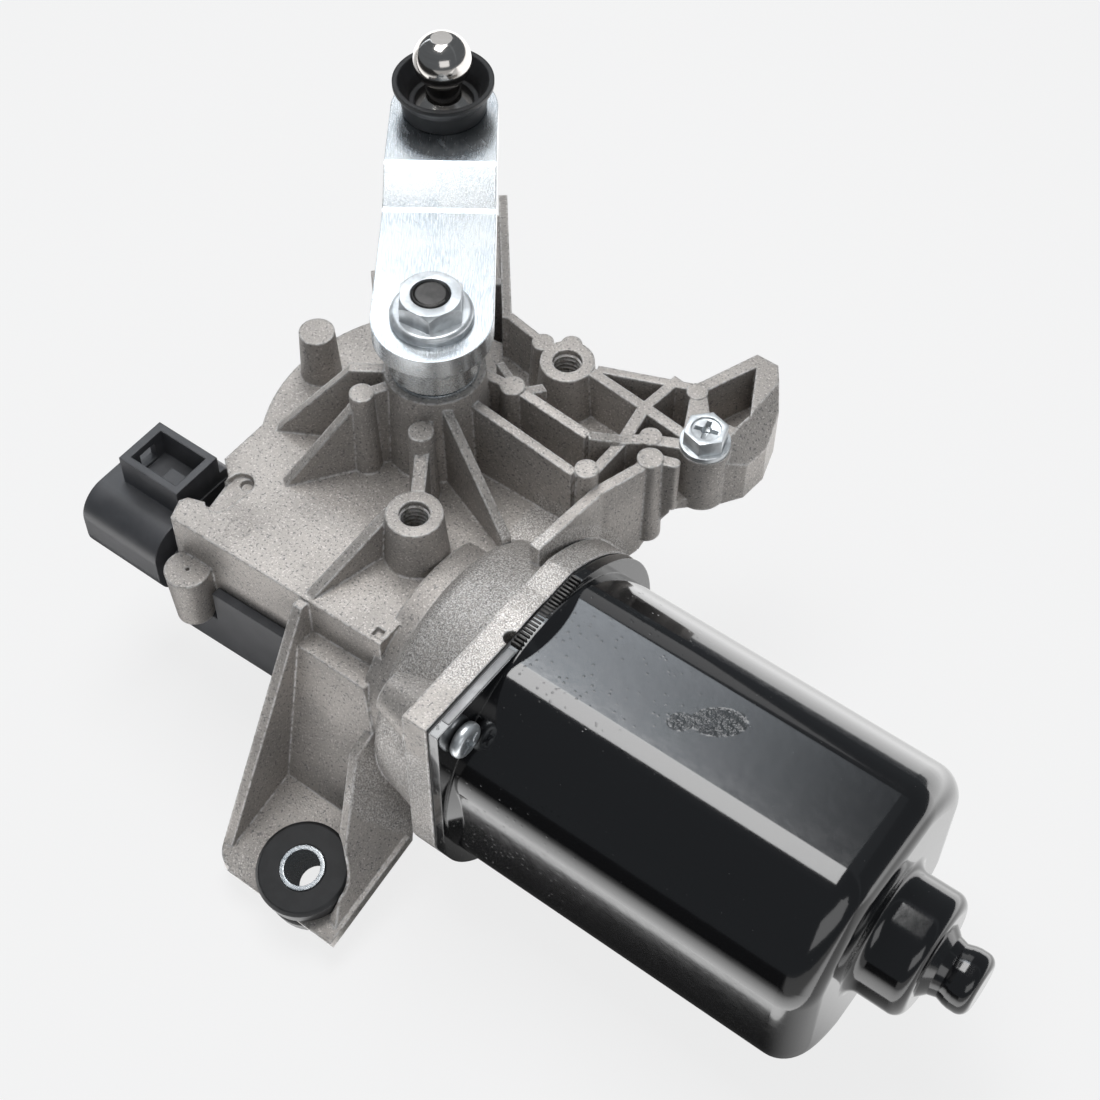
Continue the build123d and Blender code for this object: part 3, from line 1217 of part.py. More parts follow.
def ball_stud():
    """Ball stud riveted into the arm."""
    under = ARM_HIGH_TOP - ARM_THICK
    ball = Pos(0, 0, BALL_Z) * Sphere(BALL_RADIUS)
    ball &= rod(BALL_RADIUS + 1, BALL_Z - 9, BALL_Z + BALL_RADIUS - 0.45)
    stem = turned([
        (0, under - 1.8), (STUD_NECK + 0.8, under - 1.8), (STUD_NECK + 1.8, under - 0.9), (STUD_NECK + 1.8, under),
        (STUD_NECK, under), (STUD_NECK, ARM_HIGH_TOP), (STUD_COLLAR, ARM_HIGH_TOP),
        (STUD_COLLAR, ARM_HIGH_TOP + 2.2), (STUD_NECK, ARM_HIGH_TOP + 3.4), (STUD_NECK, BALL_Z - 3), (0, BALL_Z - 3),
    ])
    return Rot(0, 0, ARM_ANGLE) * Pos(ARM_RADIUS, 0, 0) * (ball + stem)


def ball_boot():
    """Rubber cup round the ball's foot, open at the top."""
    low = ARM_HIGH_TOP + SEAT
    high = low + BOOT_HEIGHT
    hole = STUD_COLLAR + SEAT
    cup = turned([
        (hole, low), (BOOT_BASE, low), (BOOT_BASE + 0.5, low + BOOT_HEIGHT * 0.55), (BOOT_LIP, high - 1.0),
        (BOOT_LIP, high), (BOOT_LIP - BOOT_WALL * 0.7, high), (BOOT_BASE + 0.5 - BOOT_WALL, low + BOOT_HEIGHT * 0.55),
        (BOOT_BASE - BOOT_WALL, low + 1.9), (hole, low + 1.9),
    ])
    return Rot(0, 0, ARM_ANGLE) * Pos(ARM_RADIUS, 0, 0) * cup


def arm_spacer():
    """Steel collar between the tower and the arm."""
    low = TOWER_TOP + 0.8 + FREE
    collar = rod(SPACER_RADIUS, low, ARM_LOW_UNDER) - rod(OUT_RADIUS + RUN, low - 1, ARM_LOW_UNDER + 1)
    edge = collar.edges().filter_by(GeomType.CIRCLE).filter_by(lambda e: abs(e.radius - SPACER_RADIUS) < 0.01)
    return chamfer(edge, 0.5)


def crank_nut():
    """Hexagon nut with a flange, on the shaft's thread."""
    low = ARM_LOW_TOP
    skirt = turned([(0, low), (NUT_FLANGE_RADIUS, low), (NUT_FLANGE_RADIUS, low + 1.0), (6.9, low + 2.6), (0, low + 2.6)])
    hexagon = Pos(0, 0, low + 1.2) * extrude(RegularPolygon(NUT_FLATS / 2, 6, major_radius=False), 5.6)
    crown = turned([(0, low), (9, low), (9, low + 4.6), (5.9, low + 6.8), (0, low + 6.8)])
    shape = skirt + (hexagon & crown) - rod(THREAD_RADIUS + RUN, low - 1, low + 9)
    return Rot(0, 0, 8) * shape


def grommets():
    """Rubber grommets clipped into the feet."""
    half = GROMMET_HEIGHT / 2
    slot = FOOT_THICK / 2 + SEAT
    neck = SLEEVE_OUTER + SEAT
    ring = turned([
        (neck, -half), (GROMMET_RADIUS - 0.8, -half), (GROMMET_RADIUS, -half + 0.8), (GROMMET_RADIUS, -slot - 0.6),
        (GROMMET_RADIUS - 0.6, -slot), (GROMMET_GROOVE, -slot), (GROMMET_GROOVE, slot), (GROMMET_RADIUS - 0.6, slot),
        (GROMMET_RADIUS, slot + 0.6), (GROMMET_RADIUS, half - 0.8), (GROMMET_RADIUS - 0.8, half), (neck, half),
    ])
    return Compound([place * ring for place in foot_places()])


def grommet_sleeves():
    """Steel sleeves that stop the bolts from crushing the grommets."""
    half = GROMMET_HEIGHT / 2 + 0.3
    sleeve = Cylinder(SLEEVE_OUTER, 2 * half) - Cylinder(SLEEVE_BORE, 2 * half + 2)
    return Compound([place * sleeve for place in foot_places()])


PARTS = {
    "gear_case": gear_case,
    "gear_cover": gear_cover,
    "cover_gasket": cover_gasket,
    "cover_screws": cover_screws,
    "terminals": terminals,
    "contact_fingers": contact_fingers,
    "shaft_bushes": shaft_bushes,
    "shaft_seal": shaft_seal,
    "tower_washer": tower_washer,
    "motor_can": motor_can,
    "joint_seal": joint_seal,
    "can_screws": can_screws,
    "field_magnets": field_magnets,
    "front_bearing": front_bearing,
    "rear_bearing": rear_bearing,
    "end_bush": end_bush,
    "thrust_pad": thrust_pad,
    "brush_holder": brush_holder,
    "brushes": brushes,
    "brush_springs": brush_springs,
    "noise_chokes": noise_chokes,
    "earth_screw": earth_screw,
    "grommets": grommets,
    "grommet_sleeves": grommet_sleeves,
    "armature_shaft": armature_shaft,
    "armature_core": armature_core,
    "windings": windings,
    "commutator": commutator,
    "output_shaft": output_shaft,
    "worm_wheel": worm_wheel,
    "hub_washer": hub_washer,
    "shaft_clip": shaft_clip,
    "park_disc": park_disc,
    "arm_spacer": arm_spacer,
    "crank_arm": crank_arm,
    "crank_nut": crank_nut,
    "ball_stud": ball_stud,
    "ball_boot": ball_boot,
}


def write_parts():
    """Build every piece, move it to the common origin and write its file."""
    os.makedirs("parts", exist_ok=True)
    for name, make in PARTS.items():
        shape = Pos(-BOSS_X, 0, 0) * make()
        export_step(shape, "parts/" + name + ".step")


if __name__ == "__main__":
    write_parts()
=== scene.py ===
import json
import logging
import math
from dataclasses import dataclass, field
from enum import Enum
from typing import Any, Iterable, Sequence

import bpy
from mathutils import Matrix, Vector


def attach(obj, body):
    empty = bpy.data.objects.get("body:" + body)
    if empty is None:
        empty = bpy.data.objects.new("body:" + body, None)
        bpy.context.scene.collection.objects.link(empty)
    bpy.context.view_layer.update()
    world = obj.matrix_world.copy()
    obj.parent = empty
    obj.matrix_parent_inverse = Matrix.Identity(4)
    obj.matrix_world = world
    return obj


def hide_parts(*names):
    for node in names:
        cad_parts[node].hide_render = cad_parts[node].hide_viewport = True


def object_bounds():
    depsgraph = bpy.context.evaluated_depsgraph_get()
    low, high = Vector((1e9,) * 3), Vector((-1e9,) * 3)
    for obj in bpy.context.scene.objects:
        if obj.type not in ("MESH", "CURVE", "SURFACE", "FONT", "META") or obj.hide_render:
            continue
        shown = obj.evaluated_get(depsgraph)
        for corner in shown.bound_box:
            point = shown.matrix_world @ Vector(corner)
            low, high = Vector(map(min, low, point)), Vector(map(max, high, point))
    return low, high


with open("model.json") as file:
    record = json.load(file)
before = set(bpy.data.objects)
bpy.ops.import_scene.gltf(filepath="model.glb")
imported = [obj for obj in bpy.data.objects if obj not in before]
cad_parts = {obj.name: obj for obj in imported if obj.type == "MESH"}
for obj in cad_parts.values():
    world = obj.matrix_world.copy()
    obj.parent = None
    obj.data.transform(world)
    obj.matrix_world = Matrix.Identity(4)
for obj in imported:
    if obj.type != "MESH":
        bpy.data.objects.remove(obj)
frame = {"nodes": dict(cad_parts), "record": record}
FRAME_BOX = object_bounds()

LOG = logging.getLogger("wiper_motor")
MM = 0.001
AXLES = {
    joint["name"]: tuple(place / MM for place in joint["pos_m"])
    for joint in frame["record"]["behaviour"]["joints"]
}
SHAFT_X = AXLES["output_turn"][0]
MOTOR_Y = AXLES["armature_spin"][1]
MOTOR_Z = AXLES["armature_spin"][2]
THREAD_PITCH = 1.25

Colour = tuple[float, float, float]


def from_shaft(x: float, y: float, z: float) -> Vector:
    """A point in millimetres, given from the output shaft's axis, in the frame's own axes."""
    return Vector((x + SHAFT_X, y, z))


def moved(x: float, y: float, z: float) -> Matrix:
    """The move that carries the origin to a point given from the output shaft's axis, in millimetres."""
    return Matrix.Translation(from_shaft(x, y, z) * MM)


class Body(Enum):
    """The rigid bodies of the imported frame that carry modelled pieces."""

    HOUSING = "housing"
    OUTPUT = "output"


@dataclass(frozen=True)
class Finish:
    """Constant part of a finish: colour, roughness and the shader's plain numbers."""

    name: str
    colour: Colour
    roughness: float
    metallic: float = 0.0
    coat: float = 0.0
    coat_roughness: float = 0.05
    specular: float = 0.5
    round_edge: float = 0.4


@dataclass(frozen=True)
class CastTones:
    """Tones of the die casting, from the pits to the rubbed edges with their painted highlight."""

    pepper: Colour = (0.16, 0.153, 0.147)
    fleck: Colour = (0.235, 0.228, 0.222)
    dark: Colour = (0.39, 0.363, 0.34)
    light: Colour = (0.48, 0.448, 0.42)
    grain: Colour = (0.68, 0.645, 0.615)
    salt: Colour = (0.82, 0.80, 0.78)
    # Near white for the sharp edges: partly rubbed metal, partly a painted edge highlight.
    rubbed_and_highlit: Colour = (0.88, 0.87, 0.86)


@dataclass(frozen=True)
class BellZone:
    """Where the casting was blasted: a ring about the motor's axis, in millimetres."""

    inner: tuple[float, float] = (22.0, 25.0)
    outer: tuple[float, float] = (42.0, 40.5)
    start: tuple[float, float] = (11.5, 13.5)


@dataclass(frozen=True)
class ZincTones:
    """Tones of the zinc plate, and of its scuffs."""

    dark: Colour = (0.565, 0.62, 0.665)
    light: Colour = (0.695, 0.725, 0.735)
    line: Colour = (0.755, 0.785, 0.815)
    scuff: Colour = (0.50, 0.54, 0.57)


@dataclass(frozen=True)
class Blotch:
    """One wrinkled blotch in the paint: centre from the shaft, stretch along its length, edge."""

    centre: tuple[float, float, float]
    stretch: float
    outer: float
    inner: float
    turn: float = 36.0


BLOTCHES = (
    Blotch((94.5, -28.7, -4.9), 1.7, 3.6, 2.8),
    Blotch((88.4, -33.2, -4.9), 1.3, 2.3, 1.5),
)


@dataclass(frozen=True)
class Socket:
    """A shader output with arithmetic: each operator adds one Math node."""

    tree: Any
    output: Any

    def _math(self, operation: str, *others: Any) -> "Socket":
        """Add a Math node.

        Args:
            operation: Blender's name for the operation.
            others: further operands, sockets or numbers.

        Returns:
            The node's result.
        """
        node = self.tree.nodes.new("ShaderNodeMath")
        node.operation = operation
        self.tree.links.new(self.output, node.inputs[0])
        for index, other in enumerate(others, start=1):
            if isinstance(other, Socket):
                self.tree.links.new(other.output, node.inputs[index])
            else:
                node.inputs[index].default_value = other
        return Socket(self.tree, node.outputs[0])

    def __add__(self, other: Any) -> "Socket":
        """Sum."""
        return self._math("ADD", other)

    def __sub__(self, other: Any) -> "Socket":
        """Difference."""
        return self._math("SUBTRACT", other)

    def __mul__(self, other: Any) -> "Socket":
        """Product."""
        return self._math("MULTIPLY", other)

    def __truediv__(self, other: Any) -> "Socket":
        """Quotient."""
        return self._math("DIVIDE", other)

    def __pow__(self, other: Any) -> "Socket":
        """Power."""
        return self._math("POWER", other)

    def most(self, other: Any) -> "Socket":
        """The higher of two values."""
        return self._math("MAXIMUM", other)


class Shader:
    """A node material on object coordinates, built up call by call."""

    def __init__(self, finish: Finish) -> None:
        """Start a material from the constants of a finish.

        Args:
            finish: the constants.
        """
        self.finish = finish
        self.material = bpy.data.materials.new(finish.name)
        self.material.use_nodes = True
        self.tree = self.material.node_tree
        self.tree.nodes.clear()
        self.surface = self.tree.nodes.new("ShaderNodeBsdfPrincipled")
        output = self.tree.nodes.new("ShaderNodeOutputMaterial")
        self.tree.links.new(self.surface.outputs[0], output.inputs[0])
        self.surface.inputs["Base Color"].default_value = (*finish.colour, 1.0)
        self.surface.inputs["Roughness"].default_value = finish.roughness
        self.surface.inputs["Metallic"].default_value = finish.metallic
        self.surface.inputs["Coat Weight"].default_value = finish.coat
        self.surface.inputs["Coat Roughness"].default_value = finish.coat_roughness
        self.surface.inputs["Specular IOR Level"].default_value = finish.specular
        self.place = self.node("ShaderNodeTexCoord", {}, "Object")

    def node(self, kind: str, inputs: dict[Any, Any], output: Any = 0, **settings: Any) -> Socket:
        """Add one node of any kind.

        Args:
            kind: Blender's node type.
            inputs: input name or number to a Socket or a constant.
            output: the output to return, by name or number.
            settings: properties of the node itself.

        Returns:
            The chosen output.
        """
        node = self.tree.nodes.new(kind)
        for name, value in settings.items():
            setattr(node, name, value)
        for name, value in inputs.items():
            if isinstance(value, Socket):
                self.tree.links.new(value.output, node.inputs[name])
            else:
                node.inputs[name].default_value = value
        return Socket(self.tree, node.outputs[output])

    def stretched(self, stretch: Sequence[float], turn: float = 0.0) -> Socket:
        """Object coordinates in millimetres, turned about Z and then stretched.

        Args:
            stretch: factors by which a pattern is longer along each axis.
            turn: direction of the first axis in plan, in degrees.

        Returns:
            The coordinates.
        """
        values = {"Vector": self.place, "Rotation": (0.0, 0.0, math.radians(-turn))}
        turned = self.node("ShaderNodeMapping", values)
        scale = tuple(1.0 / MM / s for s in stretch)
        return self.node("ShaderNodeMapping", {"Vector": turned, "Scale": scale})

    def noise(self, size: float, detail: float = 3.0, stretch: Sequence[float] = (1, 1, 1),
              turn: float = 0.0) -> Socket:
        """Noise of a grain size in millimetres.

        Args:
            size: size of the largest grain.
            detail: octaves.
            stretch: factors by which the grain is longer along each axis.
            turn: direction of the first axis in plan, in degrees.

        Returns:
            The noise, around one half.
        """
        values = {"Vector": self.stretched(stretch, turn), "Scale": 1.0 / size, "Detail": detail}
        return self.node("ShaderNodeTexNoise", values, "Fac")

    def cells(self, size: float) -> Socket:
        """Distance to the nearest of scattered points, in cells of a size in millimetres."""
        values = {"Vector": self.stretched((1, 1, 1)), "Scale": 1.0 / size}
        return self.node("ShaderNodeTexVoronoi", values, "Distance")

    def step(self, value: Socket, low: float, high: float, start: float = 0.0, end: float = 1.0) -> Socket:
        """Map a range to another one, clamped and smooth."""
        values = {"Value": value, "From Min": low, "From Max": high, "To Min": start, "To Max": end}
        return self.node("ShaderNodeMapRange", values, interpolation_type="SMOOTHSTEP")

    def mix(self, factor: Any, first: Any, second: Any) -> Socket:
        """Blend two colours."""
        colours = [c if isinstance(c, Socket) else (*c, 1.0) for c in (first, second)]
        return self.node("ShaderNodeMix", {0: factor, 6: colours[0], 7: colours[1]}, 2, data_type="RGBA")

    def near(self, point: Sequence[float], stretch: Sequence[float] = (1, 1, 1), turn: float = 0.0) -> Socket:
        """Distance in millimetres from a point given in millimetres, shortened along each stretched axis.

        Args:
            point: the point.
            stretch: factors for the three axes.
            turn: direction of the first axis in plan, in degrees.

        Returns:
            The distance.
        """
        turned = Matrix.Rotation(math.radians(-turn), 3, "Z") @ Vector(point)
        target = tuple(p / s for p, s in zip(turned, stretch))
        where = self.stretched(stretch, turn)
        return self.node("ShaderNodeVectorMath", {0: where, 1: target}, 1, operation="DISTANCE")

    def axes(self) -> tuple[Socket, Socket, Socket]:
        """The three object coordinates in millimetres."""
        place = self.stretched((1, 1, 1))
        return tuple(self.node("ShaderNodeSeparateXYZ", {"Vector": place}, i) for i in range(3))

    def set(self, name: str, value: Socket) -> None:
        """Drive one input of the surface."""
        self.tree.links.new(value.output, self.surface.inputs[name])

    def edge_wear_and_highlight(self, share: float) -> Socket:
        """Patches along the sharp edges, painted bright: partly edge wear, partly a painted edge highlight.

        Args:
            share: how strong the wear and the painted highlight are, from 0 to 1.

        Returns:
            The mask.
        """
        soft = self.node("ShaderNodeBevel", {"Radius": self.finish.round_edge * MM}, samples=4)
        sharp = self.node("ShaderNodeNewGeometry", {}, "Normal")
        turn = self.node("ShaderNodeVectorMath", {0: soft, 1: sharp}, 1, operation="DOT_PRODUCT")
        return self.step(turn, 0.995, 0.90) * self.step(self.noise(1.3), 0.36, 0.56) * share

    def relief(self, *layers: tuple[Socket, float]) -> None:
        """Round the edges and add bumps.

        Args:
            layers: pairs of a height field and its depth in millimetres.
        """
        radius = self.finish.round_edge * MM
        normal = self.node("ShaderNodeBevel", {"Radius": radius}, samples=4)
        for height, depth in layers:
            values = {"Height": height, "Distance": depth * MM, "Strength": 1.0, "Normal": normal}
            normal = self.node("ShaderNodeBump", values)
        self.set("Normal", normal)


class Finishes:
    """Every material of the motor."""

    PLAIN = {
        "rubber": (Finish("black_rubber", (0.013, 0.013, 0.0142), 0.5, round_edge=0.6), 0.25, 0.012),
        "natural": (Finish("natural_nylon", (0.74, 0.70, 0.60), 0.42), 0.5, 0.01),
        "bronze": (Finish("sintered_bronze", (0.42, 0.28, 0.15), 0.45, 0.9), 0.12, 0.02),
        "brass": (Finish("tinned_brass", (0.68, 0.62, 0.45), 0.28, 1.0), 0.4, 0.004),
        "ferrite": (Finish("ferrite", (0.06, 0.06, 0.065), 0.6, 0.2), 0.3, 0.03),
        "steel": (Finish("ground_steel", (0.55, 0.55, 0.57), 0.22, 1.0), 0.6, 0.003),
        "plated": (Finish("zinc_screw", (0.66, 0.69, 0.71), 0.34, 0.7, round_edge=0.25), 0.3, 0.004),
        # A light grey strip on the can's flange: a painted reflection of the sky in the glossy paint.
        "reflection_grey": (Finish("painted_reflection_grey", (0.30, 0.30, 0.305), 0.45, 0.5), 0.9, 0.03),
        "dark": (Finish("dark_steel", (0.085, 0.082, 0.08), 0.42, 0.8), 0.3, 0.01),
        "carbon": (Finish("carbon", (0.05, 0.05, 0.05), 0.6), 0.2, 0.02),
    }
    ARM_TURN = 125.8
    SCUFF_TURN = 30.0

    def __init__(self) -> None:
        """Build the materials once."""
        self.cast = self._cast()
        self.zinc = self._zinc("zinc_plate", 0.26, 0.0)
        self.arm = self._zinc("zinc_plate_arm", 0.24, self.ARM_TURN)
        self.paint = self._paint()
        self.plastic = self._plastic()
        self.ball = self._ball()
        self.copper = self._copper()
        self.core = self._laminated()
        self.plain = {name: self._plain(*values) for name, values in self.PLAIN.items()}

    def _plain(self, finish: Finish, grain: float, depth: float) -> Any:
        """A finish with a fine grain: the colour, roughness and surface vary a little.

        Args:
            finish: the constants.
            grain: size of the grain in millimetres.
            depth: depth of the grain in millimetres.

        Returns:
            The material.
        """
        shader = Shader(finish)
        mottle = shader.noise(grain * 12, 3.0)
        fine = shader.noise(grain, 2.0)
        dark = tuple(c * 0.78 for c in finish.colour)
        light = tuple(min(1.0, c * 1.16) for c in finish.colour)
        shader.set("Base Color", shader.mix(shader.step(mottle, 0.35, 0.65), dark, light))
        shader.set("Roughness", fine * 0.12 + (finish.roughness - 0.06))
        shader.relief((fine, depth))
        return shader.material

    def _cast(self) -> Any:
        """Sand-rough die-cast aluminium with bright and dark specks and one ejector mark.

        Returns:
            The material.
        """
        tones = CastTones()
        finish = Finish("cast_aluminium", tones.dark, 0.5, 0.5, specular=0.4, round_edge=0.9)
        shader = Shader(finish)
        cloud = shader.noise(16.0, 4.0)
        grain = shader.noise(0.42, 2.0)
        flecks = shader.noise(0.55, 1.0)
        base = shader.mix(shader.step(cloud, 0.36, 0.66), tones.dark, tones.light)
        light = shader.mix(shader.step(grain, 0.55, 0.70), base, tones.grain)
        mixed = shader.mix(shader.step(flecks, 0.42, 0.30), light, tones.fleck)
        sandy = self._bell_grain(shader, mixed, tones, BellZone())
        # Sharp edges mixed towards near white: edge wear together with a painted edge highlight.
        shader.set("Base Color", shader.mix(shader.edge_wear_and_highlight(0.9), sandy, tones.rubbed_and_highlit))
        shader.set("Roughness", grain * 0.2 + 0.40)
        shader.set("Metallic", shader.step(cloud, 0.3, 0.7, 0.4, 0.6))
        ring = self._ring(shader, from_shaft(-18.9, -45.9, -13.3), 2.8)
        shader.relief((grain, 0.07), (shader.noise(3.2, 3.0), 0.09), (ring, 0.05))
        return shader.material

    def _bell_grain(self, shader: Shader, base: Socket, tones: CastTones, zone: BellZone) -> Socket:
        """Blasted grain on the bell and its flange, coarser than on the plate.

        Args:
            shader: the material.
            base: the colour elsewhere.
            tones: the tones of the grains.
            zone: where the grain is.

        Returns:
            The colour with the grain mixed in.
        """
        along, across, high = shader.axes()
        radial = ((across - MOTOR_Y) ** 2.0 + (high - MOTOR_Z) ** 2.0) ** 0.5
        ring = shader.step(radial, *zone.outer) * shader.step(radial, *zone.inner)
        bell = ring * shader.step(along, *zone.start)
        salt = shader.step(shader.noise(0.36, 1.0), 0.46, 0.62) * bell
        pepper = shader.step(shader.noise(0.30, 1.0), 0.48, 0.34) * bell
        light = shader.mix(salt * 0.8, base, tones.salt)
        return shader.mix(pepper * 0.6, light, tones.pepper)

    def _ring(self, shader: Shader, centre: Sequence[float], radius: float) -> Socket:
        """A faint raised ring, as an ejector pin leaves.

        Args:
            shader: the material.
            centre: centre of the ring in millimetres.
            radius: its outer radius in millimetres.

        Returns:
            The mask.
        """
        distance = shader.near(centre)
        outer = shader.step(distance, radius + 0.35, radius)
        return outer * shader.step(distance, radius - 0.9, radius - 0.5)

    def _zinc(self, name: str, roughness: float, turn: float) -> Any:
        """Bright zinc plate with a bluish tint, rolling lines and handling marks.

        Args:
            name: name of the material.
            roughness: mean roughness.
            turn: direction of the rolling lines in plan, in degrees.

        Returns:
            The material.
        """
        tones = ZincTones()
        shader = Shader(Finish(name, tones.light, roughness, 1.0, round_edge=0.35))
        cloud = shader.noise(9.0, 3.0, turn=turn)
        lines = shader.noise(0.30, 2.0, (9, 1, 1), turn)
        scratch = shader.noise(1.6, 5.0, (3, 1, 1), turn + self.SCUFF_TURN)
        scuffs = shader.step(scratch, 0.60, 0.70)
        tint = shader.mix(shader.step(cloud, 0.35, 0.65), tones.dark, tones.light)
        grained = shader.mix(shader.step(lines, 0.35, 0.65), tint, tones.line)
        shader.set("Base Color", shader.mix(scuffs * 0.6, grained, tones.scuff))
        shader.set("Roughness", lines * 0.12 + scuffs * 0.12 + (roughness - 0.05))
        shader.relief((lines, 0.0028), (shader.noise(0.8, 2.0), 0.0025))
        return shader.material

    def _blotch(self, shader: Shader, blotch: Blotch) -> Socket:
        """Mask of one wrinkled blotch."""
        distance = shader.near(from_shaft(*blotch.centre), (blotch.stretch, 1.0, 1.0), blotch.turn)
        return shader.step(distance, blotch.outer, blotch.inner)

    def _paint(self) -> Any:
        """Glossy black paint with orange peel, dust and one wrinkled patch.

        Returns:
            The material.
        """
        finish = Finish("black_paint", (0.004, 0.004, 0.0048), 0.14, 0.0, 0.6, 0.03, 0.55, 0.5)
        shader = Shader(finish)
        peel = shader.noise(2.6, 2.0)
        specks = shader.step(shader.cells(2.4), 0.05, 0.02)
        large, small = (self._blotch(shader, blotch) for blotch in BLOTCHES)
        patch = large.most(small)
        wrinkles = (shader.noise(1.3, 2.0) - 0.5) * patch
        near_flange = shader.step(shader.axes()[0], 80.0, 45.0)
        dust = shader.step(shader.cells(1.7), 0.20, 0.06) * near_flange
        shader.set("Base Color", shader.mix(specks, finish.colour, (0.09, 0.09, 0.09)))
        shader.set("Roughness", patch * 0.10 + peel * 0.06 + 0.09)
        shader.relief((peel, 0.014), (dust, 0.05), (wrinkles, 0.85))
        return shader.material

    def _plastic(self) -> Any:
        """Satin dark grey moulded plastic.

        Returns:
            The material.
        """
        dark, light = (0.056, 0.057, 0.062), (0.078, 0.079, 0.085)
        shader = Shader(Finish("moulded_plastic", dark, 0.42, specular=0.6, round_edge=0.5))
        cloud = shader.noise(6.0, 3.0)
        fine = shader.noise(0.3, 2.0)
        shader.set("Base Color", shader.mix(shader.step(cloud, 0.3, 0.7), dark, light))
        shader.set("Roughness", cloud * 0.12 + fine * 0.08 + 0.32)
        shader.relief((fine, 0.008))
        return shader.material

    def _ball(self) -> Any:
        """Polished steel with the faintest of turning lines.

        Returns:
            The material.
        """
        dark, light = (0.44, 0.42, 0.40), (0.56, 0.54, 0.52)
        shader = Shader(Finish("polished_steel", light, 0.12, 1.0, round_edge=0.2))
        lines = shader.noise(0.3, 2.0, (30, 30, 1))
        shader.set("Base Color", shader.mix(lines, dark, light))
        shader.set("Roughness", lines * 0.08 + 0.09)
        shader.relief((lines, 0.002))
        return shader.material

    def _copper(self) -> Any:
        """Lacquered wire: thin windings show as a fine ribbing round the coil.

        Returns:
            The material.
        """
        dark, light = (0.36, 0.14, 0.06), (0.72, 0.34, 0.17)
        shader = Shader(Finish("copper_wire", light, 0.3, 1.0))
        wires = shader.noise(0.5, 1.0, (8, 1, 1))
        shader.set("Base Color", shader.mix(shader.step(wires, 0.35, 0.65), dark, light))
        shader.set("Roughness", wires * 0.2 + 0.2)
        shader.relief((wires, 0.12))
        return shader.material

    def _laminated(self) -> Any:
        """Stack of steel sheets: thin lines square to the motor axis.

        Returns:
            The material.
        """
        dark, light = (0.20, 0.20, 0.22), (0.42, 0.42, 0.44)
        shader = Shader(Finish("laminated_steel", light, 0.4, 0.9))
        sheets = shader.noise(0.5, 0.0, (1, 400, 400))
        shader.set("Base Color", shader.mix(sheets, dark, light))
        shader.set("Roughness", sheets * 0.2 + 0.3)
        shader.relief((sheets, 0.05))
        return shader.material


